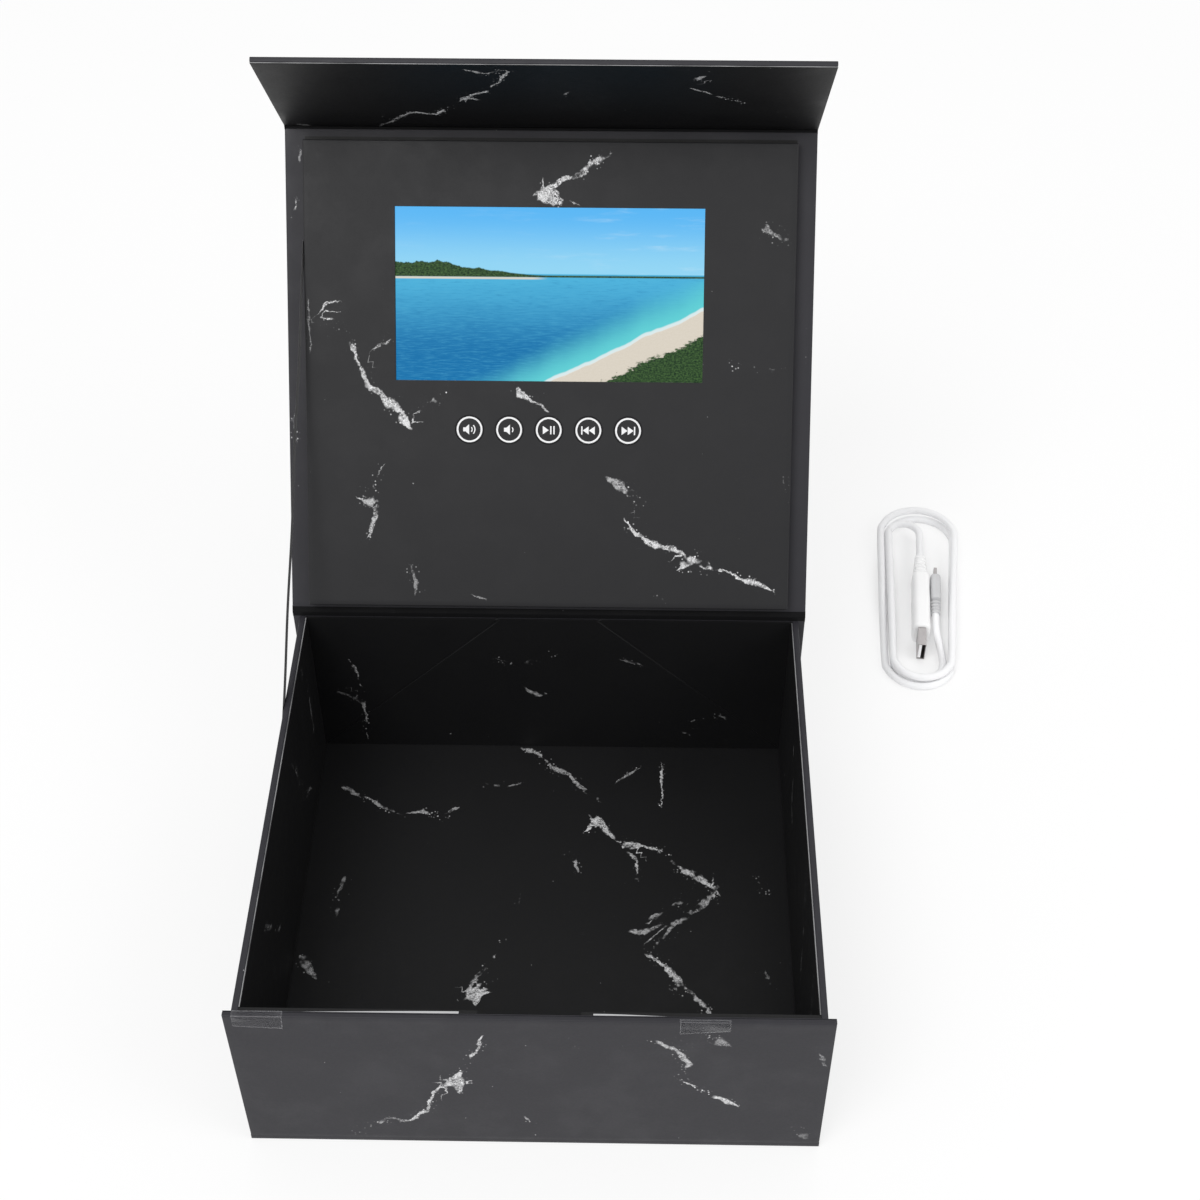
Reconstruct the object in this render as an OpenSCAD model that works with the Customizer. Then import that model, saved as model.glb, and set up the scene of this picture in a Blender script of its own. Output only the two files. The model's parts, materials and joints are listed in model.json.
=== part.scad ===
// Collapsible gift box of wrapped boards, with a video screen and five buttons in its lid,
// and its charging cable wound up beside it.
// Millimetres. X is right, Y is back and Z is up. The origin is under the middle of the base.
// The lid stands open against its ribbon, and the flap is folded forward over it.

/* [Box] */
// Width of the cover boards
box_w = 265; // [255:1:300]
// Depth from the front board's face to the back board's face
box_d = 245; // [240:1:280]
// Height of the front board's top edge
front_h = 104; // [92:1:118]
// Thickness of a wrapped cover board
board_t = 3; // [2.6:0.1:3.4]
// Thickness of a wrapped side wall
wall_t = 3; // [2.4:0.1:3.4]
// How far the side walls stand in from the cover boards' edges
wall_inset = 3.5; // [2.5:0.1:5]
// How far the side walls stop below the front board's top edge
wall_drop = 0.5; // [0.3:0.1:2]
// Thickness of the lining on the floor and the side walls
lining_t = 0.8; // [0.5:0.1:1.2]
// Thickness of the lining on the back
back_lining_t = 1.2; // [0.8:0.1:1.6]
// Thickness of the lining sheets of the flap and the front board
sheet_t = 0.4; // [0.3:0.1:0.6]
// Thickness of the tabs behind the front board
tab_t = 2; // [1.5:0.1:2.2]
// Free width between the two tabs
tab_gap = 45; // [30:1:80]
// How much more the tabs stand apart at the floor, on each side
tab_slant = 12; // [0:1:20]
// How far the tabs stop below the side walls' top edges
tab_drop = 0.5; // [0.3:0.1:2]
// How far the linings stop below the side walls' top edges
lining_drop = 0.2; // [0.1:0.1:1]

/* [Folds] */
// Clearance between a fold's paper roll and the boards beside it
fold_gap = 0.5; // [0.4:0.1:0.8]
// Clearance between two boards that move past each other
board_gap = 0.3; // [0.2:0.1:0.5]
// Clearance between the closed lid and the front board's top edge
lid_gap = 0.5; // [0.4:0.1:1.2]
// Clearance between the closed flap and the front board's face
flap_gap = 0.5; // [0.4:0.1:1.2]
// Clearance at a crease in the back lining
crease_gap = 0.4; // [0.2:0.1:0.8]

/* [Lid and flap] */
// How far the open lid leans back from upright, in degrees
lid_lean = 36; // [20:1:40]
// Length of the flap from its fold to its free edge
flap_h = 93; // [70:1:98]
// How far the flap is folded forward from the lid's plane, in degrees
flap_fold = 77; // [45:1:85]

/* [Screen housing] */
// Margin of the lid beside the housing
housing_side = 10; // [9:0.5:14]
// Distance from the lid's fold to the housing
housing_low = 4.6; // [4:0.1:8]
// Distance from the housing to the flap's fold
housing_high = 8; // [7.6:0.1:12]
// Height of the housing above the lid board
housing_t = 8; // [8:0.5:12]
// Thickness of the housing's face board
face_t = 1.5; // [1.2:0.1:1.8]
// Width of the foam bars that carry the face board
spacer_w = 12; // [8:1:14]

/* [Screen] */
// Width of the picture
screen_w = 154.2; // [140:0.1:170]
// Height of the picture
screen_h = 85.9; // [78:0.1:90]
// Distance from the flap's fold to the picture's top edge
screen_drop = 40; // [32:0.5:46]
// Steel frame beside the picture
frame_side = 5.4; // [4:0.1:8]
// Steel frame above the picture
frame_top = 5; // [4:0.1:8]
// Steel frame below the picture
frame_low = 9; // [6:0.1:11]
// Depth of the screen with its frame
frame_t = 4; // [3.4:0.1:4.6]
// Thickness of the steel
steel_t = 0.4; // [0.3:0.1:0.6]
// Thickness of the screen's glass
glass_t = 1.6; // [1.2:0.1:2]
// Clearance between the screen's layers and its frame
screen_gap = 0.2; // [0.1:0.1:0.4]

/* [Buttons] */
// Diameter of a button
button_d = 14; // [11:0.5:16]
// Distance from one button to the next
button_pitch = 20; // [19:0.5:24]
// Distance from the picture's lower edge to the row of buttons
button_drop = 24.4; // [20:0.2:28]
// Clearance round a button
button_gap = 0.3; // [0.2:0.1:0.5]
// Travel of a button
button_travel = 0.4; // [0.3:0.1:0.6]
// Width of the rim that keeps a button in
button_rim = 1.2; // [0.8:0.1:1.4]
// Thickness of that rim
button_rim_t = 0.8; // [0.6:0.1:0.9]

/* [Electronics] */
// Thickness of the circuit boards
circuit_t = 1.2; // [0.8:0.1:1.4]
// Thickness of the foam pads under the main circuit board
pad_t = 1; // [0.8:0.1:1.2]
// Width of the main circuit board
main_w = 62; // [56:1:68]
// Length of the main circuit board
main_h = 54; // [48:1:56]
// Free width between the foam bars and what lies in the lower bay
bay_gap = 6; // [4:0.5:8]
// Width of the battery
battery_w = 64; // [50:1:66]
// Length of the battery
battery_h = 50; // [40:1:56]
// Thickness of the battery
battery_t = 4; // [3:0.1:5]
// Diameter of the speaker
speaker_d = 36; // [28:1:40]
// Depth of the speaker
speaker_t = 4.6; // [4:0.1:5.4]
// Thickness of the speaker's wall
speaker_wall = 1.5; // [1:0.1:2]
// Thickness of the speaker's floor
speaker_floor = 1.6; // [1:0.1:2]
// Height of a switch's body above its circuit board
switch_t = 3.1; // [2.8:0.1:3.2]
// Thickness of the flat cables
flat_cable_t = 0.3; // [0.2:0.1:0.4]
// Width of the flat cable to the switches
switch_cable_w = 6; // [4:0.5:9]
// Width of the charging socket
port_w = 7.6; // [7.4:0.1:8]
// Height of the charging socket
port_t = 2.7; // [2.5:0.1:2.9]
// Depth of the charging socket
port_l = 5.6; // [5:0.1:6]
// Free width on each side of the charging socket
notch_gap = 2.2; // [1.5:0.1:3]
// Thickness of the charging socket's shell
port_shell = 0.35; // [0.25:0.05:0.4]
// Diameter of a wire
wire_d = 1.2; // [0.8:0.1:1.4]
// Distance between two wires of a pair
lead_pitch = 3; // [2:0.5:4]

/* [Magnets] */
// Diameter of a magnet and of the steel plate that it meets
magnet_d = 15; // [10:0.5:18]
// Thickness of a magnet or a plate
magnet_t = 1.5; // [1:0.1:1.8]
// Distance from the flap's free edge to the middle of its magnets
magnet_up = 20; // [12:1:30]
// Distance of a magnet from the middle of the box
magnet_x = 75; // [60:1:90]

/* [Tape and ribbon] */
// Thickness of the clear tape
tape_t = 0.15; // [0.1:0.05:0.2]
// Length of a piece of tape
tape_l = 22; // [12:1:24]
// How far the tape comes down the front board
tape_down = 9; // [6:0.5:12]
// Distance of the left piece of tape from the cover's left edge
left_tape_in = 4; // [4:0.5:20]
// Distance of the right piece of tape from the cover's right edge
right_tape_in = 45.5; // [8:0.5:60]
// Width of the ribbon
ribbon_w = 7; // [5:0.2:7]
// Thickness of the ribbon
ribbon_t = 0.5; // [0.4:0.1:0.8]
// Distance from the lid's fold to the ribbon's upper end
ribbon_up = 189; // [150:1:200]
// Distance from the back board's face to the place where the ribbon meets the side wall
ribbon_in = 62; // [40:1:70]
// Length of the ribbon that is glued to the side wall
ribbon_glued = 18; // [12:1:24]

/* [Cable] */
// Diameter of the cable
cable_d = 4.4; // [4:0.1:4.8]
// Distance between the middles of the hank's two folds
hank_run = 102; // [96:1:110]
// Radius of the inmost loop at the back fold
hank_back_r = 16.5; // [16:0.5:20]
// Radius of the inmost loop at the front fold
hank_front_r = 13.2; // [13:0.1:15]
// Clearance between a loop and the next
hank_gap = 0.6; // [0.5:0.1:1]
// Place of the hank's middle, to the right of the box's middle
hank_x = 214.5; // [205:0.5:240]
// Place of the hank's middle, behind the box's middle
hank_y = 237.5; // [200:0.5:260]
// How far the hank is turned to the right, in degrees
hank_turn = 5; // [0:1:10]
// Width of the large plug's grip, which stands on its edge
plug_w = 10.5; // [9.5:0.1:11]
// Height of the large plug's grip
plug_t = 15.4; // [14:0.2:16]
// Length of the large plug's grip
plug_l = 46; // [38:1:48]
// Length of the large plug's ribbed end
relief_l = 18; // [14:1:19]
// Width of the small plug's grip, which stands on its edge
tip_w = 6.4; // [6:0.1:6.8]
// Height of the small plug's grip
tip_t = 10.4; // [10:0.1:11]
// Length of the small plug's grip
tip_l = 20; // [16:1:22]
// Length of the small plug's ribbed end
tip_relief_l = 10; // [8:1:12]
// Clearance between the two plugs, which lie side by side
plug_gap = 0.6; // [0.4:0.1:1]

/* [Hidden] */
$fn = 64;

// Paper, board, metal and plastic colours
PAPER = "#3f3f43";
PAPER_INSIDE = "#1c1c1e";
BOARD_EDGE = "#8c8c90";
FOAM = "#2a2a2c";
STEEL = "#b9bcc0";
CIRCUIT = "#1f5a3a";
WHITE = "#f2f2f4";

// Folds: each has a roll of paper on its axis, and the boards stop short of it
roll_r = board_t / 2;
fold = roll_r + fold_gap;
front_y = -box_d / 2;
back_y = box_d / 2;
front_axis_y = front_y + board_t / 2;
back_axis_y = back_y - board_t / 2;
low_axis_z = board_t / 2;
lid_axis_z = front_h + lid_gap + board_t / 2;
lid_len = box_d + flap_gap;

// Tray
wall_out = box_w / 2 - wall_inset;
wall_in = wall_out - wall_t;
clear_x = wall_in - lining_t;
wall_top = front_h - wall_drop;
wall_front = front_y + board_t + board_gap;
tab_back = wall_front + tab_t;
floor_z = board_t + lining_t;
lining_top = wall_top - lining_drop;
tab_top = wall_top - tab_drop;
back_lining_y = back_y - board_t - back_lining_t;
crease_h = lining_top - floor_z;

// Housing, in the lid's own axes: y runs up the lid from its fold, z out of its inner face
housing_x = box_w / 2 - housing_side;
housing_top = lid_len - housing_high;
housing_back_z = board_t / 2;
face_z = housing_back_z + housing_t;
face_back_z = face_z - face_t;
bar_x = housing_x - spacer_w;
bay_low = housing_low + spacer_w;
window_top = lid_len - screen_drop;
window_low = window_top - screen_h;
button_y = window_low - button_drop;

// Screen
frame_front_z = face_back_z - screen_gap;
frame_back_z = frame_front_z - frame_t;
frame_x = screen_w / 2 + frame_side;
frame_y0 = window_low - frame_low;
frame_y1 = window_top + frame_top;
glass_z = frame_front_z - steel_t;

// Lower bay
bay_y = bay_low + bay_gap;
main_x1 = bar_x - board_gap;
main_x0 = main_x1 - main_w;
main_z = housing_back_z + pad_t;
main_top_z = main_z + circuit_t;
port_y = bay_y + main_h / 2;
notch_w = port_w + 2 * notch_gap;
battery_x1 = main_x0 - bay_gap;
battery_x0 = battery_x1 - battery_w;
speaker_x = battery_x0 - bay_gap - speaker_d / 2;
speaker_y = bay_y + battery_h / 2;
connector_t = 2.8;
connector_l = 4.5;
connector_w = 7;
connector_x = main_x0 + 0.5;
battery_lead_in = 12;
speaker_lead_in = 15;
battery_lead_y = bay_y + battery_lead_in;
speaker_lead_y = bay_y + main_h - speaker_lead_in;
lead_side = 2;
screen_cable_w = 30;
screen_cable_in = 12;
switch_cable_in = 2;
cable_overlap = 4;

// Buttons and their switches
button_x = [for (i = [-2:2]) i * button_pitch];
plunger_t = 0.5;
plunger_r = 1.75;
switch_w = 6;
switch_circuit_w = 16;
switch_circuit_end = 18;
switch_circuit_x0 = -2 * button_pitch - switch_circuit_end;
// The switches' board reaches a little past its flat cable, which comes from the main circuit board
switch_cable_x = main_x0 + switch_cable_in;
switch_cable_end = 1.8;
switch_circuit_x1 = switch_cable_x + switch_cable_w + switch_cable_end;
switch_circuit_z = housing_back_z + circuit_t;
switch_top = switch_circuit_z + switch_t;
stem_gap = 0.05;
stem_z = switch_top + plunger_t + button_travel + stem_gap;
rim_z = face_back_z - screen_gap - button_rim_t;

// Magnets and plates face each other when the flap hangs down over the front board
magnet_y = flap_h - magnet_up;
plate_z = lid_axis_z - magnet_y;
pocket_gap = 0.1;

// Tape: the left piece is near the corner and the right piece lies further in
left_tape_x = left_tape_in - box_w / 2;
right_tape_x = box_w / 2 - right_tape_in - tape_l;

// Ribbon, in the lid's axes: from the housing's side to the side wall's top edge
ribbon_z = housing_back_z + housing_t / 2;
ribbon_low_y = back_y - ribbon_in - back_axis_y;
ribbon_low_z = wall_top - lid_axis_z;
ribbon_end = [
    ribbon_low_y * sin(lid_lean) + ribbon_low_z * cos(lid_lean),
    -ribbon_low_y * cos(lid_lean) + ribbon_low_z * sin(lid_lean)
];
ribbon_run = ribbon_end - [ribbon_up, ribbon_z];
ribbon_dir = ribbon_run / norm(ribbon_run);
ribbon_tip = ribbon_end + ribbon_dir * ribbon_glued;
ribbon_lap = [0, ribbon_w / 2 / abs(ribbon_dir[0])];
ribbon_slant = asin((wall_out - housing_x) / norm(ribbon_run));

// Hank: two layers of loops round two folds, the front fold the smaller one
LOOP = 24;
LAST_RING = 60;
TUBE_SIDES = 6;
hank_step = cable_d + hank_gap;
hank_low_z = cable_d / 2;
hank_high_z = hank_low_z + hank_step;
hank_fold_y = hank_run / 2;
hank_tilt = asin((hank_back_r - hank_front_r) / hank_run);

// The large plug points to the front, and the small one lies to its right and points to the back
plug_x = 0.3;
plug_y0 = -34;
plug_y1 = plug_y0 + plug_l;
plug_z = plug_t / 2;
relief_y = plug_y1 + relief_l;
shell_l = 14;
tip_x = plug_x + plug_w / 2 + plug_gap + tip_w / 2;
tip_y0 = -4.5;
tip_y1 = tip_y0 + tip_l;
tip_z = tip_t / 2;
tip_relief_y = tip_y0 - tip_relief_l;
tip_shell_l = 6.5;

module slab(low, high) {
    translate(low) cube(high - low);
}

// The lid's own axes, with the lid standing open
module on_lid() {
    translate([0, back_axis_y, lid_axis_z]) rotate([90 - lid_lean, 0, 0]) children();
}

// The flap's own axes: y runs from its fold to its free edge, z out of its inner face
module on_flap() {
    on_lid() translate([0, lid_len, 0]) rotate([flap_fold, 0, 0]) children();
}

// A roll of wrapping paper along a fold of the cover
module fold_roll() {
    rotate([0, 90, 0]) cylinder(r = roll_r, h = box_w, center = true);
}

// A flat sheet that stands across the box, drawn in X and Z, from y0 to y1
module upright(points, y0, y1) {
    translate([0, y1, 0]) rotate([90, 0, 0]) linear_extrude(y1 - y0) polygon(points);
}

// A round wire through points at one height, with round corners and flat ends
module wire(points, z) {
    for (i = [0:len(points) - 2]) {
        run = points[i + 1] - points[i];
        translate([points[i][0], points[i][1], z]) {
            if (i > 0) sphere(d = wire_d, $fn = 16);
            rotate([0, 0, atan2(run[1], run[0])]) rotate([0, 90, 0])
                cylinder(d = wire_d, h = norm(run), $fn = 16);
        }
    }
}

module base_board() {
    color(PAPER) slab(
        [-box_w / 2, front_axis_y + fold, 0],
        [box_w / 2, back_axis_y - fold, board_t]
    );
}

module back_board() {
    color(PAPER) slab(
        [-box_w / 2, back_y - board_t, low_axis_z + fold],
        [box_w / 2, back_y, lid_axis_z - fold]
    );
}

module back_fold() {
    color(PAPER) translate([0, back_axis_y, low_axis_z]) fold_roll();
}

module front_fold() {
    color(PAPER) translate([0, front_axis_y, low_axis_z]) fold_roll();
}

module lid_fold_roll() {
    color(PAPER) translate([0, back_axis_y, lid_axis_z]) fold_roll();
}

module right_wall() {
    color(PAPER) slab([wall_in, wall_front, board_t], [wall_out, back_y - board_t, wall_top]);
}

module left_wall() {
    mirror([1, 0, 0]) right_wall();
}

module right_front_tab() {
    color(BOARD_EDGE) upright([
        [tab_gap / 2 + tab_slant, floor_z],
        [wall_in, floor_z],
        [wall_in, tab_top],
        [tab_gap / 2, tab_top]
    ], wall_front, tab_back);
}

module left_front_tab() {
    mirror([1, 0, 0]) right_front_tab();
}

module floor_lining() {
    color(PAPER_INSIDE) slab([-wall_in, wall_front, board_t], [wall_in, back_y - board_t, floor_z]);
}

module right_lining() {
    color(PAPER_INSIDE) slab([clear_x, tab_back, floor_z], [wall_in, back_lining_y, lining_top]);
}

module left_lining() {
    mirror([1, 0, 0]) right_lining();
}

// The middle of the back lining, between the two slanting creases
module back_lining() {
    low_x = clear_x - crease_gap;
    high_x = low_x - crease_h;
    color(PAPER_INSIDE) upright([
        [-low_x, floor_z], [low_x, floor_z], [high_x, lining_top], [-high_x, lining_top]
    ], back_lining_y, back_y - board_t);
}

// A corner piece that folds against the back when the box is laid flat
module right_gusset() {
    color(PAPER_INSIDE) upright([
        [wall_in, floor_z], [wall_in, lining_top], [clear_x - crease_h, lining_top], [clear_x, floor_z]
    ], back_lining_y, back_y - board_t);
}

module left_gusset() {
    mirror([1, 0, 0]) right_gusset();
}

// Two round discs, apart along X, with their near faces at z = 0
module disc_pair(d, h) {
    for (side = [-1, 1]) translate([side * magnet_x, 0, 0]) cylinder(d = d, h = h);
}

module front_board() {
    inner_y = front_y + board_t - sheet_t;
    color(PAPER) difference() {
        slab([-box_w / 2, front_y, low_axis_z + fold], [box_w / 2, inner_y, front_h]);
        translate([0, inner_y + 1, plate_z]) rotate([90, 0, 0])
            disc_pair(magnet_d + 2 * pocket_gap, magnet_t + 1);
    }
}

module front_lining() {
    color(PAPER_INSIDE) slab(
        [-box_w / 2, front_y + board_t - sheet_t, low_axis_z + fold],
        [box_w / 2, front_y + board_t, front_h]
    );
}

module front_plates() {
    color(STEEL) translate([0, front_y + board_t - sheet_t, plate_z]) rotate([90, 0, 0])
        disc_pair(magnet_d, magnet_t - pocket_gap);
}

// A piece of clear tape over the front board's top edge
module tape(x, back) {
    color("#8e8e94", 0.5) union() {
        slab([x, front_y - tape_t, front_h - tape_down], [x + tape_l, front_y, front_h + tape_t]);
        slab([x, front_y - tape_t, front_h], [x + tape_l, front_y + back, front_h + tape_t]);
    }
}

module left_tape() {
    tape(left_tape_x, board_t);
}

module right_tape() {
    tape(right_tape_x, board_t / 2);
}

module lid_board() {
    color(PAPER) on_lid() slab(
        [-box_w / 2, fold, -board_t / 2],
        [box_w / 2, lid_len - fold, board_t / 2]
    );
}

// Foam bars round the housing, with a notch for the charging socket
module housing_bars() {
    color(FOAM) on_lid() difference() {
        slab([-housing_x, housing_low, housing_back_z], [housing_x, housing_top, face_back_z]);
        slab(
            [-bar_x, bay_low, housing_back_z - 1],
            [bar_x, housing_top - spacer_w, face_back_z + 1]
        );
        slab(
            [bar_x - 1, port_y - notch_w / 2, housing_back_z - 1],
            [housing_x + 1, port_y + notch_w / 2, face_back_z + 1]
        );
    }
}

// The face board, with its window and a hole for each button
module housing_face() {
    color(PAPER) on_lid() difference() {
        slab([-housing_x, housing_low, face_back_z], [housing_x, housing_top, face_z]);
        slab(
            [-screen_w / 2, window_low, face_back_z - 1],
            [screen_w / 2, window_top, face_z + 1]
        );
        for (x = button_x) translate([x, button_y, face_back_z - 1])
            cylinder(d = button_d + 2 * button_gap, h = face_t + 2);
    }
}

module screen_frame() {
    color(STEEL) on_lid() difference() {
        slab([-frame_x, frame_y0, frame_back_z], [frame_x, frame_y1, frame_front_z]);
        slab(
            [steel_t - frame_x, frame_y0 + steel_t, frame_back_z - 1],
            [frame_x - steel_t, frame_y1 - steel_t, glass_z]
        );
        slab([-screen_w / 2, window_low, glass_z - 1], [screen_w / 2, window_top, frame_front_z + 1]);
    }
}

// One layer inside the screen's frame
module screen_layer(z0, z1) {
    inset = steel_t + screen_gap;
    on_lid() slab([inset - frame_x, frame_y0 + inset, z0], [frame_x - inset, frame_y1 - inset, z1]);
}

module screen_glass() {
    color("#3f8fb5") screen_layer(glass_z - glass_t, glass_z);
}

module screen_backlight() {
    color(WHITE) screen_layer(frame_back_z, glass_z - glass_t);
}

// The flat cable from the screen's lower edge to the main circuit board, on which its end lies
module screen_cable() {
    cable_x = main_x0 + screen_cable_in;
    color("#b5702a") on_lid() slab(
        [cable_x, bay_y + main_h - cable_overlap, main_top_z],
        [cable_x + screen_cable_w, frame_y0, main_top_z + flat_cable_t]
    );
}

module main_circuit() {
    color(CIRCUIT) on_lid() union() {
        slab([main_x0, bay_y, main_z], [main_x1, bay_y + main_h, main_top_z]);
        slab(
            [main_x1 - 1, port_y - port_w / 2 - 1, main_z],
            [housing_x - 1.5, port_y + port_w / 2 + 1, main_top_z]
        );
    }
}

module main_pads() {
    pad_w = 9;
    color(FOAM) on_lid()
        for (x = [main_x0 + 2, main_x1 - pad_w - 2], y = [bay_y + 2, bay_y + main_h - pad_w - 2])
            slab([x, y, housing_back_z], [x + pad_w, y + pad_w, main_z]);
}

// Chips, a crystal, an inductor and connectors on the main circuit board
module main_chips() {
    // Each has its place from the board's lower left corner, its two widths and its height
    chips = [
        [26, 22, 14, 14, 1.2], [8, 26, 12, 18, 1.1], [44, 30, 6, 6, 0.9], [44, 12, 5, 4, 1],
        [10, 8, 8, 8, 2.2], [26, 8, 5, 3.2, 1.2], [34, 8, 7, 7, 2]
    ];
    color("#202022") on_lid() {
        for (c = chips)
            slab(
                [main_x0 + c[0], bay_y + c[1], main_top_z],
                [main_x0 + c[0] + c[2], bay_y + c[1] + c[3], main_top_z + c[4]]
            );
        // Battery and speaker connectors at the left edge
        for (y = [battery_lead_y, speaker_lead_y]) slab(
            [connector_x, y - lead_side, main_top_z],
            [connector_x + connector_l, y - lead_side + connector_w, main_top_z + connector_t]
        );
    }
}

module charging_port() {
    color(STEEL) on_lid() difference() {
        slab(
            [housing_x - port_l, port_y - port_w / 2, main_top_z],
            [housing_x, port_y + port_w / 2, main_top_z + port_t]
        );
        slab(
            [housing_x - port_l + port_shell, port_y - port_w / 2 + port_shell, main_top_z + port_shell],
            [housing_x + 1, port_y + port_w / 2 - port_shell, main_top_z + port_t - port_shell]
        );
    }
}

// The socket's contact tongue, which stands on its back wall
module port_tongue() {
    tongue_w = 4.6;
    tongue_t = 0.6;
    tongue_inset = 1;
    tongue_z = main_top_z + port_t / 2 - 0.1;
    color("#1a1a1a") on_lid() slab(
        [housing_x - port_l + port_shell, port_y - tongue_w / 2, tongue_z],
        [housing_x - tongue_inset, port_y + tongue_w / 2, tongue_z + tongue_t]
    );
}

module battery() {
    color("#a7a9ad") on_lid() slab(
        [battery_x0, bay_y, housing_back_z],
        [battery_x1, bay_y + battery_h, housing_back_z + battery_t]
    );
}

// Two wires from the battery to its connector
module battery_leads() {
    color("#b0281e") on_lid()
        for (y = [battery_lead_y, battery_lead_y + lead_pitch])
            wire([[battery_x1, y], [connector_x, y]], main_top_z + wire_d / 2);
}

// A shallow cup, whose floor carries the cone
module speaker() {
    color("#2b2b2d") on_lid() translate([speaker_x, speaker_y, housing_back_z]) difference() {
        cylinder(d = speaker_d, h = speaker_t);
        translate([0, 0, speaker_floor]) cylinder(d = speaker_d - 2 * speaker_wall, h = speaker_t);
    }
}

module speaker_cone() {
    disc_t = 0.6;
    cap_d = 14.4;
    cap_t = 1.4;
    color("#4a4a4d") on_lid() translate([speaker_x, speaker_y, housing_back_z + speaker_floor]) union() {
        cylinder(d = speaker_d - 2 * speaker_wall - 1, h = disc_t);
        translate([0, 0, disc_t]) cylinder(d = cap_d, h = cap_t);
    }
}

// Two wires from the speaker, past the battery's upper edge, to their connector
module speaker_leads() {
    run_gap = 2;
    drop_gap = 1.2;
    drop_pitch = 2.2;
    run_y = bay_y + battery_h + run_gap;
    drop_x = battery_x1 + drop_gap;
    // The first wire leaves at the speaker's top and the second beside it, both from inside its round wall
    wall_sag = speaker_d / 2 - sqrt(pow(speaker_d / 2, 2) - pow(lead_pitch + wire_d / 2, 2));
    color("#222222") on_lid()
        for (side = [0, 1])
            wire([
                [speaker_x - side * lead_pitch, speaker_y + speaker_d / 2 - side * wall_sag],
                [speaker_x - side * lead_pitch, run_y + side * lead_pitch],
                [drop_x + side * drop_pitch, run_y + side * lead_pitch],
                [drop_x + side * drop_pitch, speaker_lead_y + side * lead_pitch],
                [connector_x, speaker_lead_y + side * lead_pitch]
            ], main_top_z + wire_d / 2);
}

module switch_circuit() {
    color(CIRCUIT) on_lid() slab(
        [switch_circuit_x0, button_y - switch_circuit_w / 2, housing_back_z],
        [switch_circuit_x1, button_y + switch_circuit_w / 2, switch_circuit_z]
    );
}

// One switch under each button
module switches() {
    color("#2d2d30") on_lid() for (x = button_x) translate([x, button_y, switch_circuit_z]) union() {
        translate([-switch_w / 2, -switch_w / 2, 0]) cube([switch_w, switch_w, switch_t]);
        cylinder(r = plunger_r, h = switch_t + plunger_t);
    }
}

// The flat cable from the main circuit board down to the switches' board
module switch_cable() {
    side = [
        [bay_y + main_h - cable_overlap, main_top_z], [bay_y + main_h + 1, main_top_z],
        [button_y - switch_circuit_w / 2 - 1, switch_circuit_z],
        [button_y - switch_circuit_w / 2 + cable_overlap, switch_circuit_z]
    ];
    upper = [for (i = [3:-1:0]) side[i] + [0, flat_cable_t]];
    color("#d8d8d8") on_lid() translate([switch_cable_x, 0, 0]) rotate([90, 0, 90])
        linear_extrude(switch_cable_w) polygon(concat(side, upper));
}

// A button: its cap fills the hole in the face, its rim keeps it in and its stem meets the switch
module button(i) {
    color(PAPER) on_lid() translate([button_x[i], button_y, 0]) union() {
        translate([0, 0, rim_z + button_rim_t]) cylinder(d = button_d, h = face_z - rim_z - button_rim_t);
        translate([0, 0, rim_z]) cylinder(d = button_d + 2 * (button_gap + button_rim), h = button_rim_t);
        translate([0, 0, stem_z]) cylinder(r = plunger_r, h = rim_z - stem_z);
    }
}

module volume_up_button() {
    button(0);
}

module volume_down_button() {
    button(1);
}

module play_button() {
    button(2);
}

module previous_button() {
    button(3);
}

module next_button() {
    button(4);
}

module flap_board() {
    inner_z = board_t / 2 - sheet_t;
    color(PAPER) on_flap() difference() {
        slab([-box_w / 2, fold, -board_t / 2], [box_w / 2, flap_h, inner_z]);
        translate([0, magnet_y, inner_z - magnet_t]) disc_pair(magnet_d + 2 * pocket_gap, magnet_t + 1);
    }
}

module flap_lining() {
    color(PAPER_INSIDE) on_flap() slab(
        [-box_w / 2, fold, board_t / 2 - sheet_t],
        [box_w / 2, flap_h, board_t / 2]
    );
}

module flap_magnets() {
    color(STEEL) on_flap() translate([0, magnet_y, board_t / 2 - sheet_t - magnet_t + pocket_gap])
        disc_pair(magnet_d, magnet_t - pocket_gap);
}

module flap_fold_roll() {
    color(PAPER) on_lid() translate([0, lid_len, 0]) fold_roll();
}

// The ribbon that holds the lid: flat along the left side, from the housing to the side wall
module ribbon() {
    start = [ribbon_up, ribbon_z];
    color("#0d0d0f") on_lid() translate([-housing_x - board_gap, ribbon_up, 0]) rotate([0, 0, -ribbon_slant])
        translate([0, -ribbon_up, 0]) rotate([90, 0, 90]) mirror([0, 0, 1]) linear_extrude(ribbon_t) polygon([
            start - ribbon_lap, start + ribbon_lap, ribbon_tip + ribbon_lap, ribbon_tip - ribbon_lap
        ]);
}

// The hank's own axes, on the floor to the right of the lid
module on_hank() {
    translate([hank_x, hank_y, 0]) rotate([0, 0, -hank_turn]) children();
}

// Place and turn of the loops' ring m, from the left side round the front fold and the back fold
function ring_y(m) = m < 3 ? hank_fold_y * (1 - 2 * m / 3)
    : m < 12 ? -hank_fold_y
    : m < 15 ? hank_fold_y * (2 * (m - 12) / 3 - 1)
    : hank_fold_y;
function ring_r(m) = hank_front_r + (hank_back_r - hank_front_r) * (ring_y(m) / hank_run + 0.5);
function ring_turn(m) = m < 3 ? -hank_tilt
    : m < 12 ? -hank_tilt - (m - 3) / 9 * (180 - 2 * hank_tilt)
    : m < 15 ? hank_tilt - 180
    : hank_tilt - 180 - (m - 15) / 9 * (180 + 2 * hank_tilt);

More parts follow.
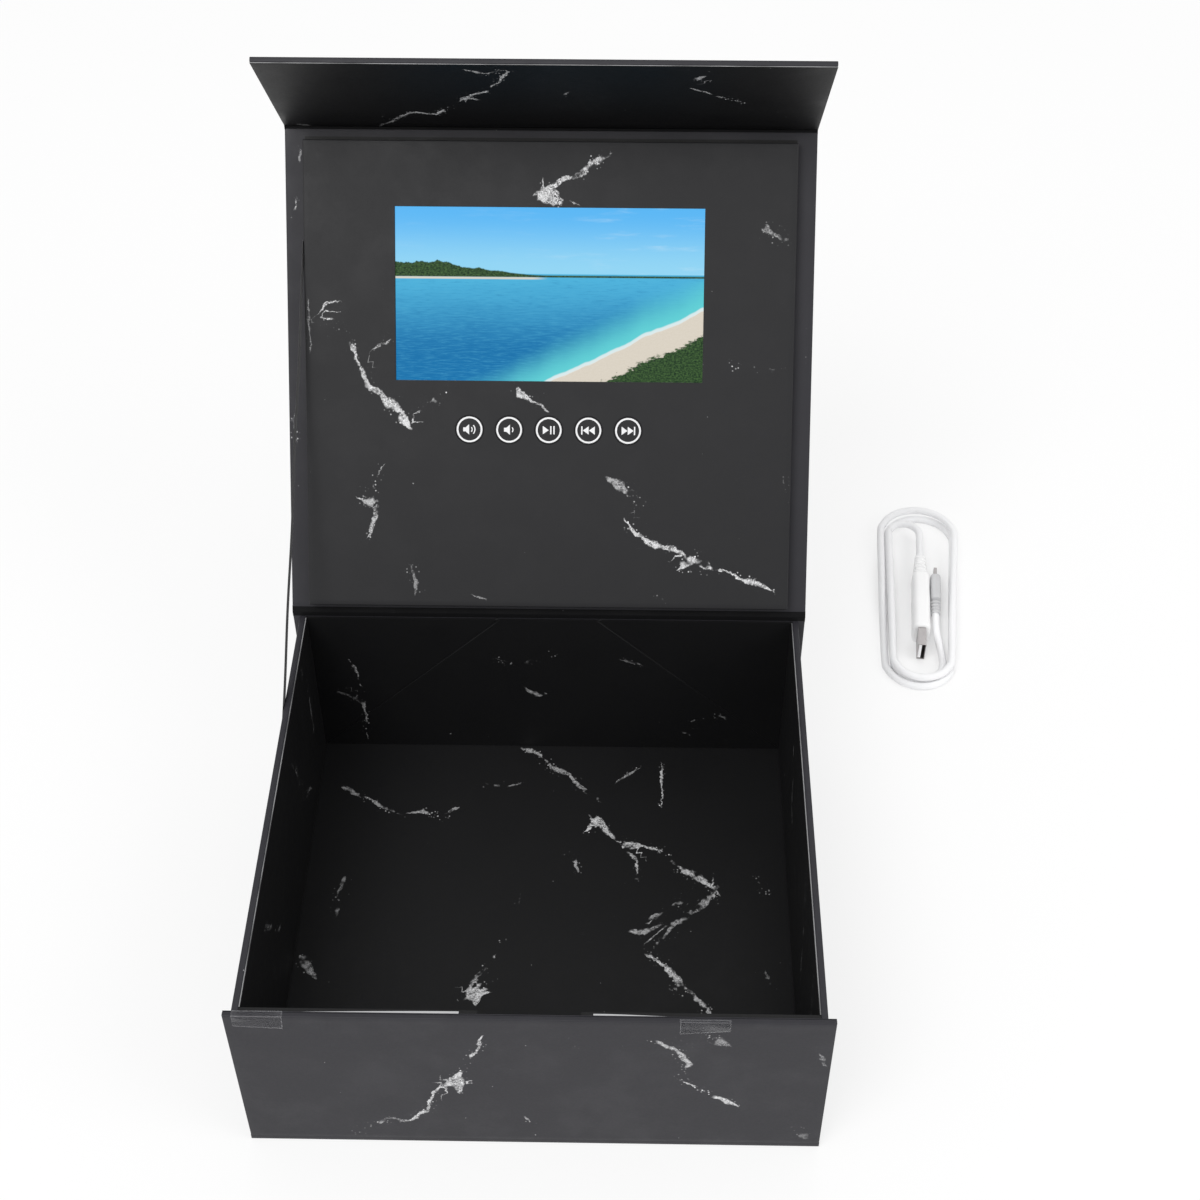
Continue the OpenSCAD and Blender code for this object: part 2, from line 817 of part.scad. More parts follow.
// The loops spiral out for one turn in the upper layer, and spiral in to the last ring in the lower layer.
// The spiral reverses in the middle of the left run, and the cable climbs down along that run.
run_rings = 3;
reversal = LOOP + run_rings / 2;
function spiral(k) = hank_step / LOOP * (k < reversal ? k + LAST_RING - 2 * reversal : LAST_RING - k);
function ease(t) = t * t * (3 - 2 * t);
function spiral_z(k) = k < LOOP ? hank_high_z
    : k < LOOP + run_rings ? hank_high_z - hank_step * ease((k - LOOP) / run_rings)
    : hank_low_z;
function loop_point(k) = let (m = k % LOOP, r = ring_r(m) + spiral(k), a = ring_turn(m))
    [-r * cos(a), ring_y(m) + r * sin(a), spiral_z(k)];

// From the large plug over to the left and into the first loop
lead_r = (plug_x - loop_point(0)[0]) / 2;
lead_in = concat(
    [for (t = [0, 0.35, 0.7])
        [plug_x, relief_y + (hank_fold_y - relief_y) * t, plug_z + (hank_high_z - plug_z) * ease(t)]],
    [for (a = [180:-20:20]) [plug_x - lead_r * (1 + cos(a)), hank_fold_y + lead_r * sin(a), hank_high_z]]
);
// From the last ring, at the right end of the front fold, back into the small plug, straight at its end
tail_bend = 0.75;
last = loop_point(LAST_RING);
tail_run = [tip_x, tip_relief_y, tip_z] - last;
tail = [for (t = [0.12, 0.25, 0.38, 0.5, 0.62, 0.75, 0.87, 1]) let (e = ease(min(1, t / tail_bend)))
    last + [tail_run[0] * e, tail_run[1] * t, tail_run[2] * e]];
cable_path = concat(lead_in, [for (k = [0:LAST_RING]) loop_point(k)], tail);

// A tube along a path, with triangles only. Both its ends run to the back.
function unit(v) = v / norm(v);
function path_tangent(p, i) = unit(p[min(i + 1, len(p) - 1)] - p[max(i - 1, 0)]);
function tube_ring(p, i) = let (
    t = i == 0 || i == len(p) - 1 ? [0, 1, 0] : path_tangent(p, i),
    side = unit(cross(t, [0, 0, 1])),
    up = cross(side, t)
) [for (s = [0:TUBE_SIDES - 1]) let (a = s * 360 / TUBE_SIDES)
    p[i] + cable_d / 2 * (cos(a) * side + sin(a) * up)];

module tube(p) {
    n = TUBE_SIDES;
    last = (len(p) - 1) * n;
    points = [for (i = [0:len(p) - 1]) each tube_ring(p, i)];
    sides = [for (i = [0:len(p) - 2], s = [0:n - 1]) let (
        a = i * n + s, b = i * n + (s + 1) % n, c = a + n, d = b + n
    ) each [[a, c, b], [b, c, d]]];
    start_cap = [for (s = [1:n - 2]) [0, s, s + 1]];
    end_cap = [for (s = [1:n - 2]) [last, last + s + 1, last + s]];
    polyhedron(points, concat(sides, start_cap, end_cap));
}

module usb_cable() {
    color(WHITE) on_hank() tube(cable_path);
}

// A block along the hank's Y axis, about the line x at height z, with rounded long edges
module grip(x, z, w, t, y0, y1, r) {
    translate([x, y1, z]) rotate([90, 0, 0]) linear_extrude(y1 - y0) union() {
        square([w - 2 * r, t], center = true);
        square([w, t - 2 * r], center = true);
        for (sx = [-1, 1], sz = [-1, 1]) translate([sx * (w / 2 - r), sz * (t / 2 - r)]) circle(r, $fn = 24);
    }
}

// Rings on a thinner core, from radius r0 at the grip to r1 where the cable comes out; turn is its way out
module ribs(x, z, y0, length, r0, r1, count, turn) {
    core_inset = 0.6;
    ring_share = 0.6;
    pitch = length / count;
    translate([x, y0, z]) rotate([turn, 0, 0]) union() {
        cylinder(r = r1 - core_inset, h = length, $fn = 32);
        for (i = [0:count - 1]) translate([0, 0, i * pitch])
            cylinder(r = r0 + (r1 - r0) * i / (count - 1), h = pitch * ring_share, $fn = 32);
    }
}

TO_BACK = -90;
TO_FRONT = 90;

module usb_a_grip() {
    color(WHITE) on_hank() union() {
        grip(plug_x, plug_z, plug_w, plug_t, plug_y0, plug_y1, 1.6);
        ribs(plug_x, plug_z, plug_y1, relief_l, plug_w / 2 - 0.9, cable_d / 2 + 1, 6, TO_BACK);
    }
}

module usb_a_shell() {
    w = 4.5;
    t = 12;
    wall = 0.35;
    color(STEEL) on_hank() translate([plug_x, plug_y0, plug_z]) difference() {
        translate([-w / 2, -shell_l, -t / 2]) cube([w, shell_l, t]);
        translate([wall - w / 2, -shell_l - 1, wall - t / 2]) cube([w - 2 * wall, shell_l, t - 2 * wall]);
    }
}

// The contact block, against the left half of the shell and back to the grip
module usb_a_tongue() {
    color("#e8e8ea") on_hank() translate([plug_x, plug_y0, plug_z])
        translate([-1.9, -shell_l + 0.6, -5.5]) cube([1.8, shell_l - 1.6, 11]);
}

module micro_usb_grip() {
    color(WHITE) on_hank() union() {
        grip(tip_x, tip_z, tip_w, tip_t, tip_y0, tip_y1, 1.4);
        ribs(tip_x, tip_z, tip_y0, tip_relief_l, tip_w / 2 - 0.1, cable_d / 2 + 0.6, 4, TO_FRONT);
    }
}

module micro_usb_shell() {
    w = 1.8;
    t = 6.8;
    wall = 0.3;
    color(STEEL) on_hank() translate([tip_x, tip_y1, tip_z]) difference() {
        translate([-w / 2, 0, -t / 2]) cube([w, tip_shell_l, t]);
        translate([wall - w / 2, 1, wall - t / 2]) cube([w - 2 * wall, tip_shell_l, t - 2 * wall]);
    }
}

// The cable's length and its least gap to itself, on points close together along the path
FINE = 4;
fine_path = [for (i = [0:len(cable_path) - 2], j = [0:FINE - 1])
    cable_path[i] + (cable_path[i + 1] - cable_path[i]) * j / FINE];
steps = [for (i = [0:len(fine_path) - 2]) norm(fine_path[i + 1] - fine_path[i])];
along = [for (i = 0, sum = 0; i < len(steps); sum = sum + steps[i], i = i + 1) sum];
gaps = [for (i = [0:len(along) - 1], j = [i + 1:len(along) - 1])
    if (along[j] - along[i] > 6 * cable_d) norm(fine_path[i] - fine_path[j])];
echo(cable_length = along[len(along) - 1], least_gap = min(gaps) - cable_d, rings = len(cable_path));

base_board();
back_board();
back_fold();
front_fold();
lid_fold_roll();
left_wall();
right_wall();
left_front_tab();
right_front_tab();
floor_lining();
left_lining();
right_lining();
back_lining();
left_gusset();
right_gusset();
front_board();
front_lining();
front_plates();
left_tape();
right_tape();
lid_board();
housing_bars();
housing_face();
screen_frame();
screen_glass();
screen_backlight();
screen_cable();
main_circuit();
main_pads();
main_chips();
charging_port();
port_tongue();
battery();
battery_leads();
speaker();
speaker_cone();
speaker_leads();
switch_circuit();
switches();
switch_cable();
volume_up_button();
volume_down_button();
play_button();
previous_button();
next_button();
flap_board();
flap_lining();
flap_magnets();
flap_fold_roll();
ribbon();
usb_cable();
usb_a_grip();
usb_a_shell();
usb_a_tongue();
micro_usb_grip();
micro_usb_shell();
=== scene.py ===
"""Gift box of wrapped boards with a video screen in its lid, dressed for rendering.

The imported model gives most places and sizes. Pieces are in metres, in the model's own frame. The print's
lines are in millimetres across and up each panel, or in pixels of the photograph, as their tables say.
"""
import json
import math
import random

import bmesh
import bpy
import numpy as np
from bpy.props import FloatProperty, FloatVectorProperty, IntProperty, PointerProperty
from mathutils import Matrix, Vector


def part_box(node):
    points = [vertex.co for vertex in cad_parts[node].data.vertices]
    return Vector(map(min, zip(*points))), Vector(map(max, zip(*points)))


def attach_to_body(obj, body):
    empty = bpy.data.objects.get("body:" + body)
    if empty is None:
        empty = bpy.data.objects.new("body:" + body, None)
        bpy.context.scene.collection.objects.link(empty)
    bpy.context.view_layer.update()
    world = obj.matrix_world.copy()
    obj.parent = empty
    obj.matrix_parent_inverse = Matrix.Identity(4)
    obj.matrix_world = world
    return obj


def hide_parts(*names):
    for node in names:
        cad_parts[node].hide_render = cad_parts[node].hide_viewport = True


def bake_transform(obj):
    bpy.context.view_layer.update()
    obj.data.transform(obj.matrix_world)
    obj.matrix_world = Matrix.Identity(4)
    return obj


bl_info = {
    "name": "Video gift box",
    "version": (1, 0, 0),
    "blender": (4, 5, 0),
    "location": "3D View > Sidebar > Gift box",
    "description": "Dresses a packed gift box with printed paper, a lit screen, a ribbon and a cable",
    "category": "Object",
}

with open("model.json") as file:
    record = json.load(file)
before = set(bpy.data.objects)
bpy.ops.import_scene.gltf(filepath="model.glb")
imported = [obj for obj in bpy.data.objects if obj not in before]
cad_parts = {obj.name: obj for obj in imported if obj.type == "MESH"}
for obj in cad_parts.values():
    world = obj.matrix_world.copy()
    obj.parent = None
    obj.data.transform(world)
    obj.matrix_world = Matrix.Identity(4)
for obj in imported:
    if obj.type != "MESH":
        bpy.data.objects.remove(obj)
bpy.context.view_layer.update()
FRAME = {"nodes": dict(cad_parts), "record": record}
NODES = FRAME["nodes"]
JOINTS = {joint["name"]: joint for joint in FRAME["record"]["behaviour"]["joints"]}
MM = 0.001

LID_AXIS = Vector(JOINTS["lid_hinge"]["pos_m"])
FLAP_AXIS = Vector(JOINTS["flap_hinge"]["pos_m"])
FRONT_AXIS = Vector(JOINTS["front_hinge"]["pos_m"])
LEAN = math.radians(JOINTS["lid_hinge"]["range_deg"][1] - 90)
FOLD = math.radians(-JOINTS["flap_hinge"]["range_deg"][0])
RIGHT = Vector((1, 0, 0))


class Plane:
    """A panel's own axes: across, up and out of its seen face."""

    def __init__(self, origin, across, up):
        self.origin, self.across, self.up = Vector(origin), Vector(across), Vector(up)
        self.out = self.across.cross(self.up)

    def at(self, across, up, out):
        return self.origin + self.across * across + self.up * up + self.out * out

    def local(self, mesh):
        """A mesh's points along the panel's axes."""
        points = np.empty(len(mesh.vertices) * 3)
        mesh.vertices.foreach_get("co", points)
        return (points.reshape(-1, 3) - np.array(self.origin)) @ np.array((self.across, self.up, self.out)).T

    def extent(self, node):
        """Lowest and highest corner of a CAD node along the panel's axes."""
        points = self.local(NODES[node].data)
        return points.min(0), points.max(0)


LID_UP = Vector((0, math.sin(LEAN), math.cos(LEAN)))
LID = Plane(LID_AXIS, RIGHT, LID_UP)
FLAP = Plane(FLAP_AXIS, RIGHT, LID_UP * math.cos(FOLD) + LID.out * math.sin(FOLD))
FRONT = Plane((0, 0, 0), RIGHT, (0, 0, 1))
FRONT_INSIDE = Plane((0, 0, 0), (-1, 0, 0), (0, 0, 1))
FLOOR = Plane((0, 0, 0), RIGHT, (0, 1, 0))
LEFT = Plane((0, 0, 0), (0, 1, 0), (0, 0, 1))
RIGHT_SIDE = Plane((0, 0, 0), (0, -1, 0), (0, 0, 1))

# Printed veins that the photograph shows, by the CAD node that carries them: half width in millimetres,
# strength, and the line's points, chosen in pixels of the photograph
SEEN_VEINS = {
    "housing_face": [
        (1.0, 0.9, [(612, 152), (598, 160), (582, 174), (560, 180), (545, 190), (532, 200)]),
        (3.0, 0.9, [(536, 196), (548, 194), (560, 204)]),
        (0.6, 0.6, [(566, 200), (580, 207)]),
        (0.6, 0.7, [(318, 313), (326, 303), (337, 300)]),
        (0.9, 0.7, [(322, 318), (336, 320), (350, 340), (358, 362), (368, 385), (384, 396), (400, 412),
                    (412, 430)]),
        (2.2, 0.8, [(384, 398), (402, 416), (410, 428)]),
        (0.8, 0.6, [(415, 415), (428, 408), (440, 395), (450, 386), (462, 382)]),
        (0.6, 0.5, [(372, 352), (382, 344), (392, 338)]),
        (1.8, 0.8, [(515, 386), (522, 392), (530, 400)]),
        (0.8, 0.6, [(530, 400), (541, 404), (548, 411)]),
        (0.7, 0.6, [(385, 465), (376, 480), (372, 500), (375, 520), (368, 537)]),
        (1.6, 0.4, [(411, 566), (418, 582), (414, 596)]),
        (0.5, 0.4, [(474, 594), (484, 600)]),
        (1.6, 0.5, [(607, 478), (622, 484), (636, 497), (641, 508)]),
        (0.9, 1.0, [(626, 521), (634, 531), (650, 543), (668, 547), (684, 553), (700, 566)]),
        (2.4, 0.9, [(680, 570), (694, 560), (712, 570)]),
        (0.8, 0.9, [(712, 570), (728, 572), (742, 580), (758, 584), (772, 592)]),
        (2.0, 0.45, [(760, 226), (772, 232), (788, 242)]),
        (1.2, 0.7, [(731, 364), (737, 368)]),
        (0.7, 0.4, [(757, 368), (768, 371), (781, 368)]),
        (0.6, 0.3, [(655, 595), (668, 603)]),
    ],
    "lid_board": [
        (0.8, 0.7, [(294, 200), (295, 210)]),
    ],
    "flap_lining": [
        (0.7, 0.7, [(508, 71), (498, 82), (484, 92), (468, 96), (452, 106), (434, 115)]),
        (2.0, 0.6, [(462, 97), (476, 99)]),
        (0.8, 0.5, [(466, 70), (486, 74), (506, 70)]),
        (0.8, 0.5, [(683, 70), (700, 80), (712, 71)]),
        (0.7, 0.6, [(692, 88), (712, 95), (728, 99), (744, 103)]),
        (0.5, 0.4, [(560, 96), (568, 92)]),
    ],
    "floor_lining": [
        (0.8, 0.5, [(340, 785), (360, 795), (385, 808), (400, 815), (425, 812), (440, 818), (458, 806)]),
        (0.7, 0.4, [(478, 783), (500, 787), (522, 784)]),
        (0.5, 0.5, [(616, 782), (632, 772), (641, 766)]),
        (0.4, 0.9, [(663, 764), (662, 782), (661, 806)]),
        (0.8, 0.9, [(586, 832), (592, 824), (597, 818)]),
        (1.1, 0.9, [(597, 818), (606, 832), (620, 842), (642, 846), (660, 852), (676, 866), (692, 876),
                    (712, 886), (718, 894)]),
        (1.6, 0.55, [(718, 886), (708, 900), (690, 914), (676, 924), (662, 938), (654, 950)]),
        (0.8, 0.8, [(620, 842), (636, 860), (638, 878), (624, 882)]),
        (0.7, 0.5, [(566, 852), (576, 862), (580, 872)]),
        (1.1, 0.8, [(646, 955), (658, 960), (672, 972), (684, 990), (700, 1004), (716, 1022)]),
        (1.8, 0.8, [(674, 985), (688, 998)]),
        (0.8, 0.7, [(503, 937), (495, 955), (484, 968), (474, 980), (466, 994)]),
        (2.6, 0.9, [(468, 996), (478, 992), (476, 1004)]),
        (0.6, 0.5, [(470, 975), (486, 985), (500, 984)]),
        (0.5, 0.35, [(520, 890), (518, 904)]),
    ],
    "back_lining": [
        (0.5, 0.5, [(350, 660), (357, 672), (362, 690), (366, 715), (368, 738)]),
        (0.5, 0.25, [(326, 688), (352, 697), (364, 704)]),
        (1.2, 0.35, [(497, 658), (520, 664), (540, 660)]),
        (1.0, 0.3, [(548, 650), (556, 657)]),
        (1.0, 0.5, [(526, 690), (540, 696), (546, 694)]),
        (0.8, 0.4, [(655, 718), (670, 728), (690, 735)]),
        (0.6, 0.35, [(690, 722), (712, 714), (724, 718)]),
        (0.8, 0.3, [(622, 660), (640, 664)]),
    ],
    "front_board": [
        (0.7, 0.8, [(484, 1037), (478, 1048), (468, 1062), (460, 1074), (446, 1084)]),
        (2.2, 0.8, [(448, 1084), (460, 1082), (458, 1094)]),
        (0.8, 0.8, [(446, 1084), (434, 1094), (428, 1108), (420, 1114), (408, 1122)]),
        (0.8, 0.5, [(408, 1122), (390, 1118), (376, 1124), (360, 1130)]),
        (2.4, 0.3, [(356, 1134), (368, 1124)]),
        (0.7, 0.5, [(524, 1118), (532, 1122)]),
        (1.0, 0.6, [(646, 1036), (662, 1044), (676, 1052), (690, 1064), (684, 1072)]),
        (2.0, 0.4, [(700, 1036), (730, 1046)]),
        (0.9, 0.8, [(678, 1078), (692, 1086), (706, 1094), (722, 1100), (738, 1106)]),
        (2.0, 0.3, [(792, 1126), (806, 1138)]),
        (0.6, 0.3, [(566, 1040), (574, 1048)]),
    ],
}
# Veins of both side walls, and those of the other panels that were set one by one, in millimetres across and
# up
WALL_VEINS = [
    (0.8, 0.35, [(-60, 80), (-48, 66), (-40, 50), (-26, 44)]),
    (0.7, 0.3, [(30, 92), (44, 70), (52, 40), (70, 24)]),
    (0.6, 0.3, [(88, 96), (96, 72), (94, 40)]),
]
PLACED_VEINS = {
    "housing_face": [
        (1.3, 0.6, [(-97, 60), (-91, 57), (-88, 58)]),
        (0.5, 0.35, [(-121, 164), (-120, 144), (-121, 129)]),
        (0.6, 0.35, [(121, 84), (119, 71), (121, 61)]),
    ],
    "lid_board": [
        (0.8, 0.5, [(-125, 233), (-125, 228)]),
        (0.7, 0.5, [(-129, 102), (-131, 96), (-129, 88)]),
        (0.7, 0.4, [(130, 146), (129, 131)]),
    ],
    "flap_lining": [
        (0.6, 0.5, [(-56, 21), (-67, 25), (-85, 3)]),
        (0.6, 0.4, [(-120, 3), (-126, 5)]),
    ],
    "floor_lining": [
        (1.1, 0.5, [(-16, 116), (-7, 112), (0, 103), (10, 98), (19, 87), (26, 80)]),
        (1.2, 0.5, [(78, 22), (66, 10), (52, 3)]),
        (1.4, 0.5, [(62, 2), (50, -6), (44, -4)]),
        (1.4, 0.5, [(-122, -20), (-117, -31), (-111, -37)]),
        (1.0, 0.4, [(-105, 28), (-107, 14), (-106, 2)]),
        (1.2, 0.4, [(108, 30), (113, 25), (115, 16)]),
        (0.7, 0.4, [(112, -28), (114, -38)]),
    ],
    "front_board": [
        (1.0, 0.35, [(126, 81), (130, 71)]),
    ],
    "left_lining": WALL_VEINS,
    "right_lining": WALL_VEINS,
}


def panel_veins(node, plane):
    """A node's printed veins, with points in whole millimetres across and up its panel.

    A pixel's place is where the camera's ray through it meets the node's seen face.
    """
    view = camera_matrix().to_3x3()
    depth = plane.extent(node)[1][2] - (CAMERA_PLACE - plane.origin).dot(plane.out)
    veins = []
    for half, strength, pixels in SEEN_VEINS.get(node, []):
        line = []
        for column, row in pixels:
            ray = view @ Vector((column - PHOTO_SIZE / 2, PHOTO_SIZE / 2 - row, -CAMERA_F))
            place = CAMERA_PLACE - plane.origin + ray * (depth / ray.dot(plane.out))
            line.append((round(place.dot(plane.across) / MM), round(place.dot(plane.up) / MM)))
        veins.append((half, strength, line))
    return veins + PLACED_VEINS.get(node, [])


# Veins of the panels that the photograph doesn't show, in millimetres and radians
STRAY_STEPS, STRAY_LENGTH, STRAY_TURN = (3, 8), (7, 15), 0.7
STRAY_HALF, STRAY_STRENGTH = (0.6, 1.3), (0.5, 0.95)
BRANCH_HALF, BRANCH_STRENGTH, BRANCH_LENGTH, BRANCH_TURN = 0.6, 0.5, 12, 1.1
BLOT_HALF, BLOT_STRENGTH, BLOT_RUN = (1.8, 2.6), 0.8, (4, -3)


def stray_veins(seed, low, high, count):
    """Wandering lines between two corners of a panel. A long one also has a branch and a blot."""
    rng = random.Random(seed)
    veins = []
    for _ in range(count):
        x, up = rng.uniform(low[0], high[0]), rng.uniform(low[1], high[1])
        heading = rng.uniform(0, 2 * math.pi)
        line = [(x, up)]
        for _ in range(rng.randint(*STRAY_STEPS)):
            heading += rng.uniform(-STRAY_TURN, STRAY_TURN)
            step = rng.uniform(*STRAY_LENGTH)
            x, up = x + step * math.cos(heading), up + step * math.sin(heading)
            if low[0] < x < high[0] and low[1] < up < high[1]:
                line.append((x, up))
        if len(line) > 2:
            veins.append((rng.uniform(*STRAY_HALF), rng.uniform(*STRAY_STRENGTH), line))
        if len(line) > 4:
            x, up = line[2]
            turn = heading + rng.choice((-BRANCH_TURN, BRANCH_TURN))
            tip = (x + BRANCH_LENGTH * math.cos(turn), up + BRANCH_LENGTH * math.sin(turn))
            veins.append((BRANCH_HALF, BRANCH_STRENGTH, [(x, up), tip]))
            x, up = line[3]
            blot = [(x, up), (x + BLOT_RUN[0], up + BLOT_RUN[1])]
            veins.append((rng.uniform(*BLOT_HALF), BLOT_STRENGTH, blot))
    return veins


# A vein's taper and fade at its ends, its reach with the fade there, and the largest distance kept, in
# millimetres, and the share of its width that is left at an end
TAPER_LENGTH, FADE_LENGTH = 8, 2.5
INK_REACH, INK_FADE = 7.5, 3
FAR = 40
END_WIDTH = 0.4


def print_values(points, veins):
    """For each point: its signed distance from the nearest vein, that vein's half width and strength.

    A vein narrows towards its ends and fades just past them. Its strength is nil out of its reach, where the
    side of the nearest vein changes from one grid point to the next.
    """
    nearest = np.full(len(points), np.inf)
    values = np.tile(np.array((FAR, 1, 0), dtype=np.float32), (len(points), 1))
    for half, strength, line in veins:
        for number, (start, end) in enumerate(zip(line, line[1:])):
            start, run = np.array(start, float), np.array(end, float) - np.array(start, float)
            length = np.linalg.norm(run)
            rel = points - start
            share = rel @ run / length ** 2
            off = np.linalg.norm(rel - np.clip(share, 0, 1)[:, None] * run, axis=1)
            side = np.where(run[0] * rel[:, 1] - run[1] * rel[:, 0] < 0, -1, 1)
            inside = np.full(len(points), np.inf)
            if number == 0:
                inside = np.minimum(inside, share * length)
            if number == len(line) - 2:
                inside = np.minimum(inside, (1 - share) * length)
            width = half * np.clip(END_WIDTH + inside / TAPER_LENGTH, END_WIDTH, 1)
            hit = off - half < nearest
            nearest[hit] = (off - half)[hit]
            values[hit, 0] = np.clip(side * off, -FAR, FAR)[hit]
            values[hit, 1] = width[hit]
            near = np.clip((INK_REACH - off) / INK_FADE, 0, 1)
            values[hit, 2] = (strength * near * np.clip(1 + inside / FADE_LENGTH, 0, 1))[hit]
    return values


def store_values(mesh, name, values):
    """Keeps three values for each point of a mesh, in place of older ones."""
    old = mesh.attributes.get(name)
    if old:
        mesh.attributes.remove(old)
    attribute = mesh.attributes.new(name, "FLOAT_VECTOR", "POINT")
    attribute.data.foreach_set("vector", np.ascontiguousarray(values, dtype=np.float32).ravel())


def print_on(mesh, node, plane):
    """Prints a node's veins straight through a finished mesh."""
    store_values(mesh, "print", print_values(plane.local(mesh)[:, :2] / MM, panel_veins(node, plane)))


def mesh_object(name, points, faces, material, smooth=True):
    mesh = bpy.data.meshes.new(name)
    mesh.from_pydata([tuple(p) for p in points], [], faces)
    mesh.validate()
    for item in material if isinstance(material, (list, tuple)) else [material]:
        mesh.materials.append(item)
    obj = bpy.data.objects.new(name, mesh)
    bpy.context.scene.collection.objects.link(obj)
    if smooth:
        mesh.polygons.foreach_set("use_smooth", [True] * len(mesh.polygons))
    return obj


def sharpen(obj, degrees=35):
    """Keeps edges sharp where faces meet at more than an angle."""
    mesh = obj.data
    bm = bmesh.new()
    bm.from_mesh(mesh)
    for edge in bm.edges:
        edge.smooth = len(edge.link_faces) == 2 and edge.calc_face_angle(0) < math.radians(degrees)
    bm.to_mesh(mesh)
    bm.free()


def two_layers(name, outer, inner, material):
    """A thin closed sheet between two grids of points."""
    rows, columns = outer.shape[:2]
    layer = rows * columns
    points = np.concatenate([outer.reshape(-1, 3), inner.reshape(-1, 3)])
    faces = []
    for i in range(rows - 1):
        for j in range(columns - 1):
            a = i * columns + j
            b, c, d = a + 1, a + columns + 1, a + columns
            faces += [(a, b, c, d), (layer + d, layer + c, layer + b, layer + a)]
    rim = list(range(columns)) + [i * columns + columns - 1 for i in range(1, rows)]
    rim += [layer - 1 - j for j in range(1, columns)] + [i * columns for i in range(rows - 2, 0, -1)]
    for a, b in zip(rim, rim[1:] + rim[:1]):
        faces.append((b, a, layer + a, layer + b))
    return mesh_object(name, points, faces, material)


def ring_faces(rings, sides):
    """Faces between rings of points, with both ends closed."""
    faces = []
    for i in range(rings - 1):
        for j in range(sides):
            a, b = i * sides + j, i * sides + (j + 1) % sides
            faces.append((a, b, b + sides, a + sides))
    faces.append(tuple(range(sides - 1, -1, -1)))
    faces.append(tuple((rings - 1) * sides + j for j in range(sides)))
    return faces


# Millimetres between a board's grid lines, and lines over its rounded edge
GRID_PITCH = 2.5
EDGE_LINES = 3


def grid_lines(low, high, radius):
    """Places of grid lines between low and high, closer over rounded edges, and the face's drop at each."""
    inner = np.linspace(low + radius, high - radius, max(2, int(round((high - low) / GRID_PITCH)) + 1))
    angles = np.linspace(math.pi / 2, 0, EDGE_LINES + 1)[:-1]
    before = low + radius - radius * np.sin(angles)
    after = high - radius + radius * np.sin(angles[::-1])
    drop = radius * (1 - np.cos(angles))
    places = np.concatenate([before, inner, after])
    drops = np.concatenate([drop, np.zeros(len(inner)), drop[::-1]])
    return places, drops


# Largest share of a board's thickness that its edge's radius takes
EDGE_SHARE = 0.45


def wrapped_board(name, node, plane, back_veins, material, body, slot, radius):
    """A board in its paper, with rounded edges, in place of a CAD board and with its size."""
    low, high = (corner / MM for corner in plane.extent(node))
    radius = min(radius, (high[2] - low[2]) * EDGE_SHARE)
    xs, x_drop = grid_lines(low[0], high[0], radius)
    us, u_drop = grid_lines(low[1], high[1], radius)
    drop = np.maximum(u_drop[:, None], x_drop[None, :])
    grid_x, grid_u = np.meshgrid(xs, us)
    front = np.stack([grid_x, grid_u, high[2] - drop], axis=-1)
    back = np.stack([grid_x, grid_u, low[2] + drop], axis=-1)
    axes = np.array((plane.across, plane.up, plane.out))
    outer, inner = (layer * MM @ axes + np.array(plane.origin) for layer in (front, back))
    obj = two_layers(name, outer, inner, material)
    places = front[..., :2].reshape(-1, 2)
    sides = [print_values(places, lines) for lines in (panel_veins(node, plane), back_veins)]
    store_values(obj.data, "print", np.concatenate(sides))
    sharpen(obj)
    attach(obj, body, slot, node)
    return obj


def attach(obj, body, slot, *nodes):
    """Lets a piece move with a body, in place of CAD nodes."""
    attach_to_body(obj, body)
    if nodes:
        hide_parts(*nodes)


def apply_modifiers(obj):
    graph = bpy.context.evaluated_depsgraph_get()
    mesh = bpy.data.meshes.new_from_object(obj.evaluated_get(graph))
    obj.modifiers.clear()
    obj.data = mesh


def cut(obj, cutters):
    """Cuts closed shapes out of a piece and deletes them."""
    for cutter in cutters:
        modifier = obj.modifiers.new("cut", "BOOLEAN")
        modifier.operation = "DIFFERENCE"
        modifier.solver = "EXACT"
        modifier.object = cutter
    apply_modifiers(obj)
    for cutter in cutters:
        bpy.data.objects.remove(cutter)


